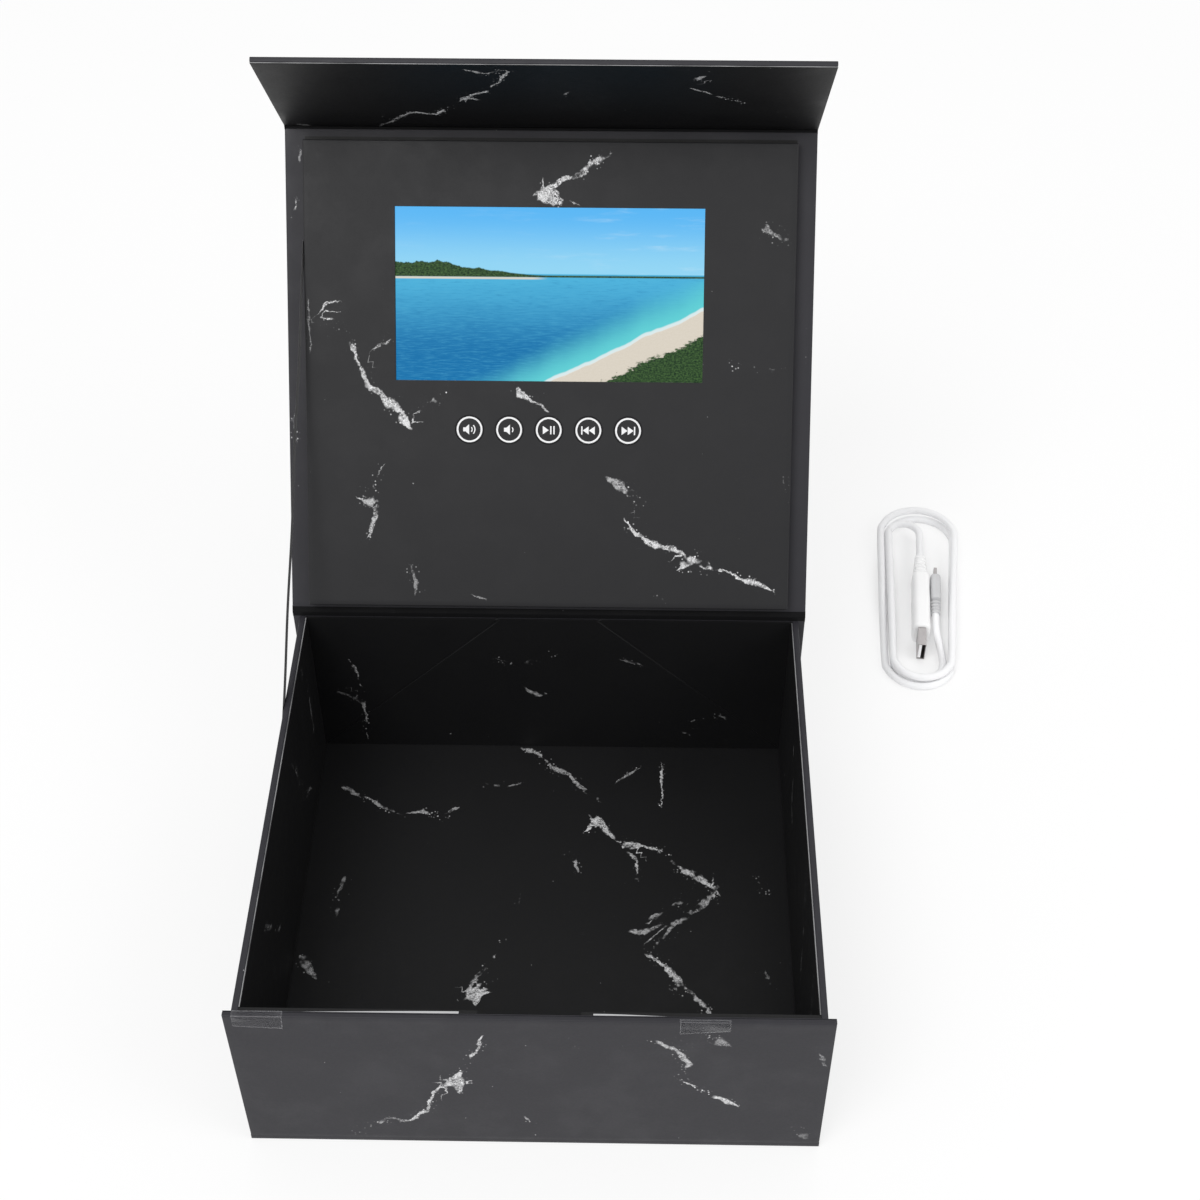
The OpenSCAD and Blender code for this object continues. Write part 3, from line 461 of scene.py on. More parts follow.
class Tree:
    """Short calls that build the nodes of one material or node group."""

    def __init__(self, tree):
        self.tree = tree

    def add(self, kind, **settings):
        node = self.tree.nodes.new(kind)
        for key, value in settings.items():
            setattr(node, key, value)
        return node

    def put(self, socket, value):
        if isinstance(value, bpy.types.NodeSocket):
            self.tree.links.new(value, socket)
        elif value is not None:
            socket.default_value = value

    def math(self, operation, a, b=None, clamp=False):
        node = self.add("ShaderNodeMath", operation=operation, use_clamp=clamp)
        for socket, value in zip(node.inputs, (a, b)):
            self.put(socket, value)
        return node.outputs[0]

    def plus(self, a, b, clamp=False):
        return self.math("ADD", a, b, clamp)

    def minus(self, a, b):
        return self.math("SUBTRACT", a, b)

    def times(self, a, b, clamp=False):
        return self.math("MULTIPLY", a, b, clamp)

    def dot(self, a, b):
        node = self.add("ShaderNodeVectorMath", operation="DOT_PRODUCT")
        self.put(node.inputs[0], a)
        self.put(node.inputs[1], b)
        return node.outputs["Value"]

    def scaled(self, vector, scale):
        node = self.add("ShaderNodeVectorMath", operation="MULTIPLY")
        self.put(node.inputs[0], vector)
        self.put(node.inputs[1], scale)
        return node.outputs["Vector"]

    def ramp(self, value, low, high, to_low=0.0, to_high=1.0):
        node = self.add("ShaderNodeMapRange", interpolation_type="SMOOTHSTEP")
        for socket, item in zip(node.inputs, (value, low, high, to_low, to_high)):
            self.put(socket, item)
        return node.outputs[0]

    def mix(self, factor, a, b):
        node = self.add("ShaderNodeMix", data_type="RGBA")
        self.put(node.inputs["Factor"], factor)
        for socket, value in zip((node.inputs[6], node.inputs[7]), (a, b)):
            self.put(socket, (*value, 1) if isinstance(value, tuple) and len(value) == 3 else value)
        return node.outputs[2]

    def noise(self, vector, scale, detail=2.0, rough=0.5):
        node = self.add("ShaderNodeTexNoise")
        self.put(node.inputs["Vector"], vector)
        self.put(node.inputs["Scale"], scale)
        self.put(node.inputs["Detail"], detail)
        self.put(node.inputs["Roughness"], rough)
        return node.outputs[0]

    def parts(self, vector):
        node = self.add("ShaderNodeSeparateXYZ")
        self.put(node.inputs[0], vector)
        return node.outputs

    def vector(self, x, y, z):
        node = self.add("ShaderNodeCombineXYZ")
        for socket, value in zip(node.inputs, (x, y, z)):
            self.put(socket, value)
        return node.outputs[0]

    def position(self):
        return self.add("ShaderNodeTexCoord").outputs["Object"]

    def normal(self):
        return self.add("ShaderNodeTexCoord").outputs["Normal"]

    def along(self, place, axis, origin, offset=0.0):
        """Distance of a place from an origin along an axis, less an offset."""
        return self.minus(self.dot(place, tuple(axis)), axis.dot(origin) + offset)

    def group(self, tree, **values):
        node = self.add("ShaderNodeGroup", node_tree=tree)
        for key, value in values.items():
            self.put(node.inputs[key.replace("_", " ")], value)
        return node.outputs


def new_group(name, inputs, outputs):
    """An empty shader node group with named sockets. Returns its tree's builder and its input sockets."""
    group = bpy.data.node_groups.new(name, "ShaderNodeTree")
    for direction, sockets in (("INPUT", inputs), ("OUTPUT", outputs)):
        for label, kind, default in sockets:
            socket = group.interface.new_socket(label, in_out=direction, socket_type=kind)
            if default is not None:
                socket.default_value = default
    tree = Tree(group)
    return group, tree, tree.add("NodeGroupInput").outputs, tree.add("NodeGroupOutput").inputs


def shared(name, build):
    """A node group that is built once."""
    return bpy.data.node_groups.get(name) or build(name)


# Scales of the print's noises, per metre
WANDER_SCALE, FRAY_SCALE, SWELL_SCALE, BREAK_SCALE = 130, 600, 80, 62
SMOKE_SCALE, STREAK_SCALE, FLAKE_SCALE = 260, 430, 900
DOT_SCALE, DOT_PATCH_SCALE, SPECK_SCALE = 640, 95, 330
# How far a vein's line wanders and frays, in millimetres
WANDER, FRAY = 4.5, 2.4


def build_veins(name):
    """The white print: cloudy bodies with crisp streaks, broken along their length, and a spray of dots."""
    group, t, given, result = new_group(
        name,
        [("Position", "NodeSocketVector", None), ("Print", "NodeSocketVector", None)],
        [("Ink", "NodeSocketFloat", None)],
    )
    place = given["Position"]
    distance, half, strength = t.parts(given["Print"])
    coarse = t.times(t.minus(t.noise(place, WANDER_SCALE, 2), 0.5), WANDER)
    fine = t.times(t.minus(t.noise(place, FRAY_SCALE, 3, 0.6), 0.5), FRAY)
    warped = t.math("ABSOLUTE", t.plus(distance, t.plus(coarse, fine)))
    swell = t.ramp(t.noise(place, SWELL_SCALE, 2), 0.35, 0.65, 0.5, 1.5)
    off = t.math("DIVIDE", warped, t.times(half, swell))
    body = t.ramp(off, 1.3, 0.75)
    smoke = t.ramp(t.noise(place, SMOKE_SCALE, 4, 0.62), 0.38, 0.66, 0.1, 0.62)
    ridge = t.math("ABSOLUTE", t.minus(t.noise(place, STREAK_SCALE, 4, 0.7), 0.5))
    streak = t.times(t.ramp(ridge, 0.04, 0.012), 0.85)
    flake = t.times(t.ramp(t.noise(place, FLAKE_SCALE, 3, 0.7), 0.55, 0.64), t.ramp(off, 1.0, 0.35))
    inside = t.math("MAXIMUM", smoke, t.math("MAXIMUM", streak, flake))
    least = t.minus(0.6, t.times(strength, 0.26))
    open_part = t.ramp(t.noise(place, BREAK_SCALE, 3, 0.6), least, t.plus(least, 0.07))
    vein = t.times(t.times(body, inside), open_part)
    dots = t.add("ShaderNodeTexVoronoi", feature="F1")
    t.put(dots.inputs["Vector"], place)
    dots.inputs["Scale"].default_value = DOT_SCALE
    chosen = t.ramp(t.parts(dots.outputs["Color"])[0], 0.35, 0.9)
    dot = t.times(t.ramp(dots.outputs["Distance"], 0.34, 0.14), chosen)
    reach = t.ramp(warped, t.plus(t.times(half, 2.0), 2.4), half)
    patch = t.ramp(t.noise(place, DOT_PATCH_SCALE, 3), 0.47, 0.57)
    spray = t.times(t.times(dot, reach), patch)
    bright = t.ramp(strength, 0.0, 0.9, 0.0, 1.1)
    marked = t.times(t.math("MAXIMUM", vein, spray), bright)
    speck = t.times(t.ramp(t.noise(place, SPECK_SCALE, 2, 0.6), 0.775, 0.81), 0.3)
    t.put(result["Ink"], t.math("MAXIMUM", marked, speck, clamp=True))
    return group


# Scales of the paper's wide waves, smudges, rubbed patches and scuffs, per metre
WAVE_SCALE, SMUDGE_SCALE, RUB_SCALE, SCUFF_SCALE = 14, 45, 60, 160


def build_grain(name):
    """Fibres, wide waves and smudges: an uneven roughness, a height and a tone."""
    group, t, given, result = new_group(
        name,
        [("Position", "NodeSocketVector", None), ("Roughness", "NodeSocketFloat", 0.5),
         ("Scale", "NodeSocketFloat", 900.0)],
        [("Roughness", "NodeSocketFloat", None), ("Height", "NodeSocketFloat", None),
         ("Tone", "NodeSocketFloat", None)],
    )
    place = given["Position"]
    fibre = t.noise(place, given["Scale"], 3, 0.6)
    wide = t.noise(place, WAVE_SCALE, 2)
    smudge = t.ramp(t.noise(place, SMUDGE_SCALE, 4, 0.65), 0.4, 0.75)
    change = t.plus(t.times(t.minus(fibre, 0.5), 0.16), t.times(t.minus(smudge, 0.5), -0.08))
    t.put(result["Roughness"], t.plus(given["Roughness"], change, clamp=True))
    t.put(result["Height"], t.plus(fibre, t.times(wide, 0.6)))
    t.put(result["Tone"], t.plus(t.times(wide, 0.5), t.times(smudge, 0.35)))
    return group


def build_wear(name):
    """Places where handling has rubbed the paper a little paler."""
    group, t, given, result = new_group(
        name,
        [("Position", "NodeSocketVector", None)],
        [("Rub", "NodeSocketFloat", None)],
    )
    patch = t.ramp(t.noise(given["Position"], RUB_SCALE, 4, 0.6), 0.56, 0.7)
    scuff = t.ramp(t.noise(t.scaled(given["Position"], (1, 6, 6)), SCUFF_SCALE, 3, 0.7), 0.6, 0.78)
    t.put(result["Rub"], t.times(patch, scuff, clamp=True))
    return group


def new_material(name):
    """A material with one Principled shader. Returns the builder, the shader's inputs and the material."""
    material = bpy.data.materials.new(name)
    material.use_nodes = True
    tree = Tree(material.node_tree)
    shader = material.node_tree.nodes["Principled BSDF"]
    return tree, shader.inputs, material


def bump(tree, height, strength, distance):
    """A bump's normal. The distance is its depth in metres."""
    node = tree.add("ShaderNodeBump")
    node.inputs["Strength"].default_value = strength
    node.inputs["Distance"].default_value = distance
    tree.put(node.inputs["Height"], height)
    return node.outputs["Normal"]


INK_COLOUR = (0.92, 0.92, 0.93)
RUBBED_COLOUR = (0.2, 0.2, 0.21)
BARE_BOARD = (0.5, 0.5, 0.51)
# Near black of the painted shade line on the lid's paper along the housing's upper edge
PAINTED_SHADE_BLACK = (0.002, 0.002, 0.002)


def printed_paper(name, colour, light, rough, gloss=0.34, bare=None, bare_and_shade_colour=BARE_BOARD):
    """Matte paper with the white print and a fine grain. bare builds a mask of places in another colour: bare
    board on cut edges, and a painted shade line on the lid's paper.
    """
    t, shader, material = new_material(name)
    place = t.position()
    attribute = t.add("ShaderNodeAttribute", attribute_name="print").outputs["Vector"]
    ink = t.group(shared("Printed veins", build_veins), Position=place, Print=attribute)["Ink"]
    grain = t.group(shared("Paper grain", build_grain), Position=place, Roughness=rough)
    rub = t.group(shared("Rubbed paper", build_wear), Position=place)["Rub"]
    paper = t.mix(t.plus(t.times(grain["Tone"], 0.42), 0.08), colour, light)
    paper = t.mix(t.times(rub, 0.06), paper, RUBBED_COLOUR)
    inked = t.mix(ink, paper, INK_COLOUR)
    if bare:
        inked = t.mix(bare(t, place), inked, bare_and_shade_colour)
    t.put(shader["Base Color"], inked)
    t.put(shader["Roughness"], grain["Roughness"])
    t.put(shader["Normal"], bump(t, grain["Height"], 0.25, 0.0001))
    shader["Specular IOR Level"].default_value = gloss
    return material


# Least upward share of the normal on an upper edge
UPWARD = 0.7
# The left tab's bare wedge ends this far from its inner end
LEFT_WEDGE_GAP = 8 * MM
# Where the right tab's bare wedge starts, where it is widest, and where it has run out
RIGHT_WEDGE = (27.7 * MM, 30 * MM, 74 * MM)
# Widest part of each wedge, as a share of the tab's thickness
LEFT_WEDGE_WIDTH, RIGHT_WEDGE_WIDTH = 0.7, 0.56
BARE_WALL_LINE = 0.5 * MM
# The painted shade line on the lid's paper along the housing's upper edge: its width, the fade there and how
# far it goes under the housing
SHADE_LINE_WIDTH, SHADE_LINE_FADE, SHADE_LINE_UNDER = 2.3 * MM, 0.6 * MM, MM


def bare_tab_edge(t, place):
    """The tabs' upper edges, bare in part: a wedge that widens towards the middle of the box."""
    up = t.parts(t.normal())[2]
    x, y, _ = t.parts(place)
    low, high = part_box("left_front_tab")
    inner_end = high.x - LEFT_WEDGE_GAP
    start, widest, run_out = RIGHT_WEDGE
    left = t.times(t.ramp(x, low.x, inner_end, 0.0, LEFT_WEDGE_WIDTH), t.math("LESS_THAN", x, inner_end))
    right = t.times(t.ramp(x, run_out, widest, 0.0, RIGHT_WEDGE_WIDTH), t.math("GREATER_THAN", x, start))
    reach = t.times(t.plus(left, right), high.y - low.y)
    inside = t.math("LESS_THAN", t.minus(y, low.y), reach)
    return t.times(t.math("GREATER_THAN", up, UPWARD), inside)


def bare_wall_edge(t, place):
    """A thin bare line along the outer half of the side linings' upper edges."""
    up = t.parts(t.normal())[2]
    x = t.math("ABSOLUTE", t.parts(place)[0])
    line = t.math("GREATER_THAN", x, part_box("right_lining")[1].x - BARE_WALL_LINE)
    fade = t.ramp(t.noise(place, 30, 3), 0.35, 0.6, 0.15, 0.55)
    return t.times(t.times(t.math("GREATER_THAN", up, UPWARD), line), fade)


def bare_flap_edge(t, place):
    """The free edge of the flap's lining, a pale line along the board."""
    edge = t.math("GREATER_THAN", t.dot(t.normal(), tuple(FLAP.up)), 0.6)
    return t.times(edge, t.ramp(t.noise(place, 40, 2), 0.3, 0.6, 0.2, 0.6))


def housing_painted_shade(t, place):
    """Painted shade: a dark line on the lid's paper along the housing's upper edge."""
    _, high = LID.extent("housing_face")
    up = t.along(place, LID.up, LID.origin, high[1])
    line = t.ramp(up, SHADE_LINE_WIDTH, SHADE_LINE_WIDTH - SHADE_LINE_FADE)
    line = t.times(line, t.math("GREATER_THAN", up, -SHADE_LINE_UNDER))
    line = t.times(line, t.math("GREATER_THAN", t.along(place, LID.out, LID.origin), 0.0))
    return t.times(line, t.math("LESS_THAN", t.math("ABSOLUTE", t.parts(place)[0]), high[0]))


# Depth of a finish's texture: plain, foam and crumpled foil
PLAIN_DEPTH, FOAM_DEPTH, FOIL_DEPTH = 0.05 * MM, 0.3 * MM, 0.3 * MM


def plain_finish(name, colour, rough, metallic=0.0, spread=0.15, grain=300, depth=PLAIN_DEPTH, other=None):
    """A plain plastic, metal or board: two close tones, a fine texture and uneven roughness."""
    t, shader, material = new_material(name)
    place = t.position()
    texture = t.group(shared("Paper grain", build_grain), Position=place, Roughness=rough, Scale=float(grain))
    darker = other or tuple(c * (1 - spread) for c in colour)
    t.put(shader["Base Color"], t.mix(texture["Tone"], colour, darker))
    t.put(shader["Roughness"], texture["Roughness"])
    t.put(shader["Normal"], bump(t, texture["Height"], 0.3, depth))
    shader["Metallic"].default_value = metallic
    return material


# Share of the screen's light that falls on the box, which a bright studio drowns
SPILL = 0.25
# The window's half width, and its lower and upper edge from the lid's fold
WINDOW_HALF, WINDOW_LOW, WINDOW_HIGH = 77.1 * MM, 119.6 * MM, 205.5 * MM
# The picture's horizon and half its soft line, as shares of the window's height
HORIZON, HORIZON_SOFT = 0.62, 0.003
CLOUD_COLOUR = (0.72, 0.9, 1.0)
CREST_COLOUR, TROUGH_COLOUR = (0.10, 0.50, 0.75), (0.004, 0.14, 0.36)
TREE_COLOUR, TREE_SHADE_COLOUR = (0.08, 0.17, 0.05), (0.004, 0.022, 0.010)
FAR_SAND_COLOUR, SAND_COLOUR, SAND_SHADE_COLOUR = (0.75, 0.72, 0.62), (0.86, 0.80, 0.70), (0.70, 0.63, 0.52)
BANK_COLOUR, FOAM_COLOUR = (0.13, 0.70, 0.74), (0.93, 0.96, 0.97)


def picture_sky(t, u, v, flat, look):
    """Haze that deepens upwards, with thin clouds."""
    sky = t.mix(t.ramp(v, HORIZON, 1.0), look.haze_colour[:], look.sky_colour[:])
    cloud = t.ramp(t.noise(t.scaled(flat, (2.2, 8, 1)), 1.5, 5, 0.6), 0.52, 0.8)
    return t.mix(t.times(cloud, t.ramp(u, 0.2, 1.0, 0.1, 0.6)), sky, CLOUD_COLOUR)


def picture_sea(t, v, flat, look):
    """Deep water in front, shallower towards the horizon, with ripples."""
    nearness = t.plus(v, t.times(t.noise(t.scaled(flat, (3, 9, 1)), 1.0, 2), 0.12))
    sea = t.mix(t.ramp(nearness, 0.2, 0.75), look.deep_colour[:], look.shallow_colour[:])
    swell = t.noise(t.scaled(flat, (22, 110, 1)), 1.0, 5, 0.65)
    sea = t.mix(t.times(t.ramp(swell, 0.45, 0.7), 0.3), sea, CREST_COLOUR)
    return t.mix(t.times(t.ramp(swell, 0.5, 0.3), 0.25), sea, TROUGH_COLOUR)


def picture_hills(t, u, v, picture, trees):
    """Low wooded hills on the left, over a strip of sand."""
    ridge = t.noise(t.scaled(t.vector(u, 0.0, 0.0), (8, 1, 1)), 1.3, 6, 0.6)
    rise = t.times(t.times(ridge, t.ramp(u, 0.5, 0.05)), 0.15)
    hill_top = t.plus(rise, HORIZON - 0.004)
    on_hill = t.times(t.ramp(t.minus(hill_top, v), 0.0, 0.008), t.ramp(v, HORIZON - 0.022, HORIZON - 0.016))
    picture = t.mix(on_hill, picture, trees)
    strip = t.times(t.ramp(v, HORIZON - 0.034, HORIZON - 0.028), t.ramp(v, HORIZON - 0.016, HORIZON - 0.022))
    return t.mix(t.times(strip, t.ramp(u, 0.5, 0.44)), picture, FAR_SAND_COLOUR)


def picture_beach(t, u, v, flat, picture, leaves, trees):
    """A curved beach with foam and a grove, behind a bank of bright water."""
    waver = t.noise(t.scaled(t.vector(u, 0.0, 0.0), (7, 1, 1)), 1.0, 3)
    shore = t.plus(t.times(t.minus(u, 0.55), 0.85), t.times(waver, 0.08))
    inland = t.minus(shore, v)
    bank = t.times(t.ramp(inland, -0.26, 0.0), t.ramp(v, HORIZON, HORIZON - 0.05))
    picture = t.mix(bank, picture, BANK_COLOUR)
    picture = t.mix(t.ramp(inland, 0.0, 0.008), picture, t.mix(leaves, SAND_COLOUR, SAND_SHADE_COLOUR))
    foam = t.times(t.ramp(inland, -0.02, -0.008), t.ramp(inland, 0.012, 0.002))
    picture = t.mix(t.times(foam, 0.8), picture, FOAM_COLOUR)
    grove = t.plus(inland, t.times(t.noise(t.scaled(flat, (40, 40, 1)), 1.0, 4, 0.7), 0.12))
    return t.mix(t.ramp(grove, 0.2, 0.22), picture, trees)


def screen_picture(look):
    """A lit picture of a calm bay: sky, low hills, sea and a curved beach."""
    t, shader, material = new_material("screen picture")
    place = t.position()
    v = t.math("DIVIDE", t.along(place, LID.up, LID.origin, WINDOW_LOW), WINDOW_HIGH - WINDOW_LOW)
    u = t.plus(t.math("DIVIDE", t.parts(place)[0], 2 * WINDOW_HALF), 0.5)
    flat = t.vector(u, v, 0.0)
    leaves = t.noise(t.scaled(flat, (150, 110, 1)), 1.0, 4, 0.75)
    trees = t.mix(t.ramp(leaves, 0.35, 0.7), TREE_SHADE_COLOUR, TREE_COLOUR)
    above = t.ramp(v, HORIZON - HORIZON_SOFT, HORIZON + HORIZON_SOFT)
    picture = t.mix(above, picture_sea(t, v, flat, look), picture_sky(t, u, v, flat, look))
    picture = picture_hills(t, u, v, picture, trees)
    picture = picture_beach(t, u, v, flat, picture, leaves, trees)
    seen = t.add("ShaderNodeLightPath").outputs["Is Camera Ray"]
    t.put(shader["Emission Color"], t.mix(t.ramp(seen, 0, 1, SPILL, 1.0), (0.0, 0.0, 0.0), picture))
    shader["Emission Strength"].default_value = look.strength
    shader["Base Color"].default_value = (0.002, 0.002, 0.003, 1)
    shader["Roughness"].default_value = 0.25
    shader["Specular IOR Level"].default_value = 0.12
    return material


# Cover of the tape's face, from clear to streaked, and what its rim adds: the film's cut edges, with a
# painted highlight along them and along the bend
TAPE_ALPHA, RIM_AND_HIGHLIGHT_ALPHA = (0.015, 0.05), 0.16


def clear_tape(name):
    """Clear tape: hardly seen on its face, paler along its wrinkles, and paler along its cut edges and its
    bend, partly the film's edge and partly a painted highlight.
    """
    t, shader, material = new_material(name)
    place = t.position()
    rim = t.parts(t.add("ShaderNodeAttribute", attribute_name="rim").outputs["Vector"])[0]
    streak = t.ramp(t.noise(t.scaled(place, (1, 1, 3)), 60, 3, 0.6), 0.45, 0.75)
    t.put(shader["Base Color"], t.mix(streak, (0.45, 0.45, 0.47), (0.8, 0.8, 0.82)))
    t.put(shader["Roughness"], t.ramp(streak, 0, 1, 0.14, 0.3))
    # The rim adds cover along the cut edges and the bend: partly the film's edge, partly a painted highlight
    t.put(shader["Alpha"], t.plus(t.ramp(streak, 0, 1, *TAPE_ALPHA), t.times(rim, RIM_AND_HIGHLIGHT_ALPHA)))
    t.put(shader["Normal"], bump(t, streak, 0.5, 0.0002))
    shader["Specular IOR Level"].default_value = 0.6
    return material


# The ribbon's direction, and its ribs in radians per metre
RIBBON_RUN, RIBBON_RIBS = (0, 0.72, 0.69), 9000


def ribbon_cloth(name):
    """Black ribbed cloth with a slight sheen."""
    t, shader, material = new_material(name)
    wave = t.math("SINE", t.times(t.dot(t.position(), RIBBON_RUN), RIBBON_RIBS))
    rib = t.plus(t.times(wave, 0.5), 0.5)
    t.put(shader["Base Color"], t.mix(rib, (0.006, 0.006, 0.007), (0.022, 0.022, 0.024)))
    t.put(shader["Roughness"], t.ramp(rib, 0, 1, 0.42, 0.6))
    t.put(shader["Normal"], bump(t, rib, 0.4, 0.0001))
    shader["Sheen Weight"].default_value = 0.3
    return material


def setup_materials(look):
    """Every finish of the part, by name."""
    paper = look.paper_colour[:], look.paper_light_colour[:]
    inside = look.inside_colour[:], look.inside_light_colour[:]
    housing = look.housing_colour[:], look.housing_light_colour[:]
    return {
        "paper": printed_paper("marbled paper", *paper, 0.5),
        # The lid's paper has a painted shade line along the housing's upper edge
        "lid_paper": printed_paper("lid paper", *paper, 0.5, bare=housing_painted_shade, bare_and_shade_colour=PAINTED_SHADE_BLACK),
        "lining": printed_paper("lining paper", *inside, 0.56),
        "housing": printed_paper("housing paper", *housing, 0.5),
        # Inner side of the folds: the lining's dark paper with less gloss, standing in as painted shade for
        # the groove
        "fold": printed_paper("fold paper with painted shade", *inside, 0.75, 0.15),
        "tab": printed_paper("tab paper", *inside, 0.56, bare=bare_tab_edge),
        "wall_lining": printed_paper("wall lining paper", *inside, 0.56, bare=bare_wall_edge),
        "flap_lining": printed_paper("flap lining paper", *inside, 0.5, bare=bare_flap_edge),
        "foam": plain_finish("foam", (0.02, 0.02, 0.021), 0.95, grain=1500, depth=FOAM_DEPTH),
        "steel": plain_finish("plain steel", (0.55, 0.56, 0.58), 0.32, metallic=1.0),
        "plate": plain_finish("plated steel", (0.42, 0.40, 0.40), 0.35, metallic=1.0, spread=0.12),
        "white": plain_finish("white plastic", look.white_colour[:], 0.42, spread=0.04),
        # The small plug's white plastic, painted grey as the shade it lies in low in the hank
        "tip": plain_finish("small plug", (0.62, 0.62, 0.63), 0.4, spread=0.08),
        "sheath": plain_finish("cable sheath", look.cable_colour[:], 0.5, spread=0.06, grain=500),
        "circuit": plain_finish("circuit board", (0.01, 0.10, 0.035), 0.4, other=(0.02, 0.16, 0.06)),
        "black": plain_finish("black plastic", (0.012, 0.012, 0.013), 0.45),
        "foil": plain_finish("battery foil", (0.45, 0.46, 0.47), 0.38, metallic=0.8, grain=120,
                             depth=FOIL_DEPTH),
        "flat_cable": plain_finish("flat cable", (0.42, 0.17, 0.035), 0.3, other=(0.5, 0.24, 0.06)),
        "wire": plain_finish("wire", (0.28, 0.02, 0.015), 0.4),
        "tape": clear_tape("clear tape"),
        "ribbon": ribbon_cloth("ribbon"),
        "ink": plain_finish("white print", (0.85, 0.85, 0.86), 0.5, spread=0.05),
    }


# Every finish by name, filled when the add-on builds the box
FINISHES = {}


class BoxSizes(bpy.types.PropertyGroup):
    """Sizes of the box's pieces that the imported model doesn't give"""
    edge_radius: FloatProperty(
        name="Board edge", description="Radius of a wrapped board's edge", default=0.0005, unit="LENGTH")
    lining_radius: FloatProperty(
        name="Lining edge", description="Radius of a lining's edge", default=0.00015, unit="LENGTH")
    ring_width: FloatProperty(
        name="Ring width", description="Width of the printed ring of a button", default=0.0009, unit="LENGTH")
    ring_diameter: FloatProperty(
        name="Ring diameter", description="Outer diameter of the printed ring", default=0.013, unit="LENGTH")
    tube_sides: IntProperty(name="Cable sides", description="Faces round the cable", default=14, min=6)


class BoxLook(bpy.types.PropertyGroup):
    """Colours of the papers, the plastics and the screen's picture, and the screen's light"""
    paper_colour: FloatVectorProperty(
        name="Paper", description="Outer paper, dark tone", subtype="COLOR", default=(0.0205, 0.020, 0.0245))
    paper_light_colour: FloatVectorProperty(
        name="Paper, light", description="Outer paper, light tone", subtype="COLOR",
        default=(0.033, 0.032, 0.039))
    housing_colour: FloatVectorProperty(
        name="Housing", description="Paper of the screen housing, dark tone", subtype="COLOR",
        default=(0.011, 0.011, 0.0125))
    housing_light_colour: FloatVectorProperty(
        name="Housing, light", description="Paper of the screen housing, light tone", subtype="COLOR",
        default=(0.019, 0.019, 0.021))
    inside_colour: FloatVectorProperty(
        name="Lining", description="Inner paper, dark tone", subtype="COLOR", default=(0.004, 0.004, 0.0045))
    inside_light_colour: FloatVectorProperty(
        name="Lining, light", description="Inner paper, light tone", subtype="COLOR",
        default=(0.009, 0.009, 0.010))
    white_colour: FloatVectorProperty(
        name="Plug", description="White plastic of the plugs", subtype="COLOR", default=(0.98, 0.98, 0.98))
    cable_colour: FloatVectorProperty(
        name="Cable", description="Sheath of the cable", subtype="COLOR", default=(0.95, 0.95, 0.96))
    sky_colour: FloatVectorProperty(
        name="Sky", description="Top of the picture's sky", subtype="COLOR", default=(0.11, 0.52, 1.0))
    haze_colour: FloatVectorProperty(
        name="Haze", description="Sky at the horizon", subtype="COLOR", default=(0.32, 0.74, 1.0))
    deep_colour: FloatVectorProperty(
        name="Deep sea", description="Sea in the foreground", subtype="COLOR", default=(0.006, 0.19, 0.46))
    shallow_colour: FloatVectorProperty(
        name="Shallow sea", description="Sea at the horizon", subtype="COLOR", default=(0.085, 0.52, 0.82))
    strength: FloatProperty(name="Screen light", description="Strength of the lit screen", default=0.9, min=0)


def box_sizes():
    return bpy.context.scene.gift_box_sizes


def box_look():
    return bpy.context.scene.gift_box_look


# Steps over a fold's arc and columns across it
FOLD_ARC, FOLD_COLUMNS = 6, 60
# The fold paper's lap on each board, its start as a share of the reach, and how far its end sinks in
FOLD_LAP, LAP_START, LAP_SINK = 1.3 * MM, 0.6, 0.05 * MM


def fold_strip(name, axis, body_a, down, up, in_a, in_b, node, joint=True):
    """Paper over a fold: two layers that run from one board over the round fold to the next.

    down and up point from the fold along the boards of body_a and body_b. in_a and in_b are the boards' inner
    normals.
    """
    low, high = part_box(node)
    half = (high.x - low.x) / 2
    radius = (high.z - low.z) / 2
    reach = radius + FOLD_LAP
    profile = []
    for side in (1, -1):
        normal_a, normal_b = in_a * side, in_b * side
        layer = [axis + down * reach + normal_a * (radius - LAP_SINK)]
        layer.append(axis + down * reach * LAP_START + normal_a * radius)
        for step in range(FOLD_ARC + 1):
            layer.append(axis + normal_a.slerp(normal_b, step / FOLD_ARC) * radius)
        layer.append(axis + up * reach * LAP_START + normal_b * radius)
        layer.append(axis + up * reach + normal_b * (radius - LAP_SINK))
        profile.append(layer)
    ring = profile[0] + profile[1][::-1]
    n = len(ring)
    points = [Vector((x, p.y, p.z)) for x in np.linspace(-half, half, FOLD_COLUMNS) for p in ring]
    faces = ring_faces(FOLD_COLUMNS, n)
    outer = [face[0] % n >= n // 2 for face in faces[:-2]]
    # The inner layer's dark paper is painted shade in the fold's groove; the outer layer is the cover paper
    obj = mesh_object(name, points, faces, [FINISHES["fold"], FINISHES["paper"]])
    for face, on_outside in zip(obj.data.polygons, outer):
        face.material_index = int(on_outside)
    sharpen(obj, degrees=50)
    if joint:
        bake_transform(obj)
        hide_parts(node)
    else:
        attach(obj, body_a, "marbled_paper", node)


# Boards of the cover: seed of the stray veins on the side away from the camera, node, panel and body
COVER_BOARDS = (
    (3, "lid_board", LID, "lid"),
    (11, "flap_board", FLAP, "flap"),
    (23, "base_board", FLOOR, "box"),
    (31, "back_board", FRONT, "box"),
    (47, "front_board", FRONT, "front_panel"),
)
# Stray veins of a cover board, and how far they stay from its edges in millimetres
COVER_STRAYS, STRAY_MARGIN = 5, 6


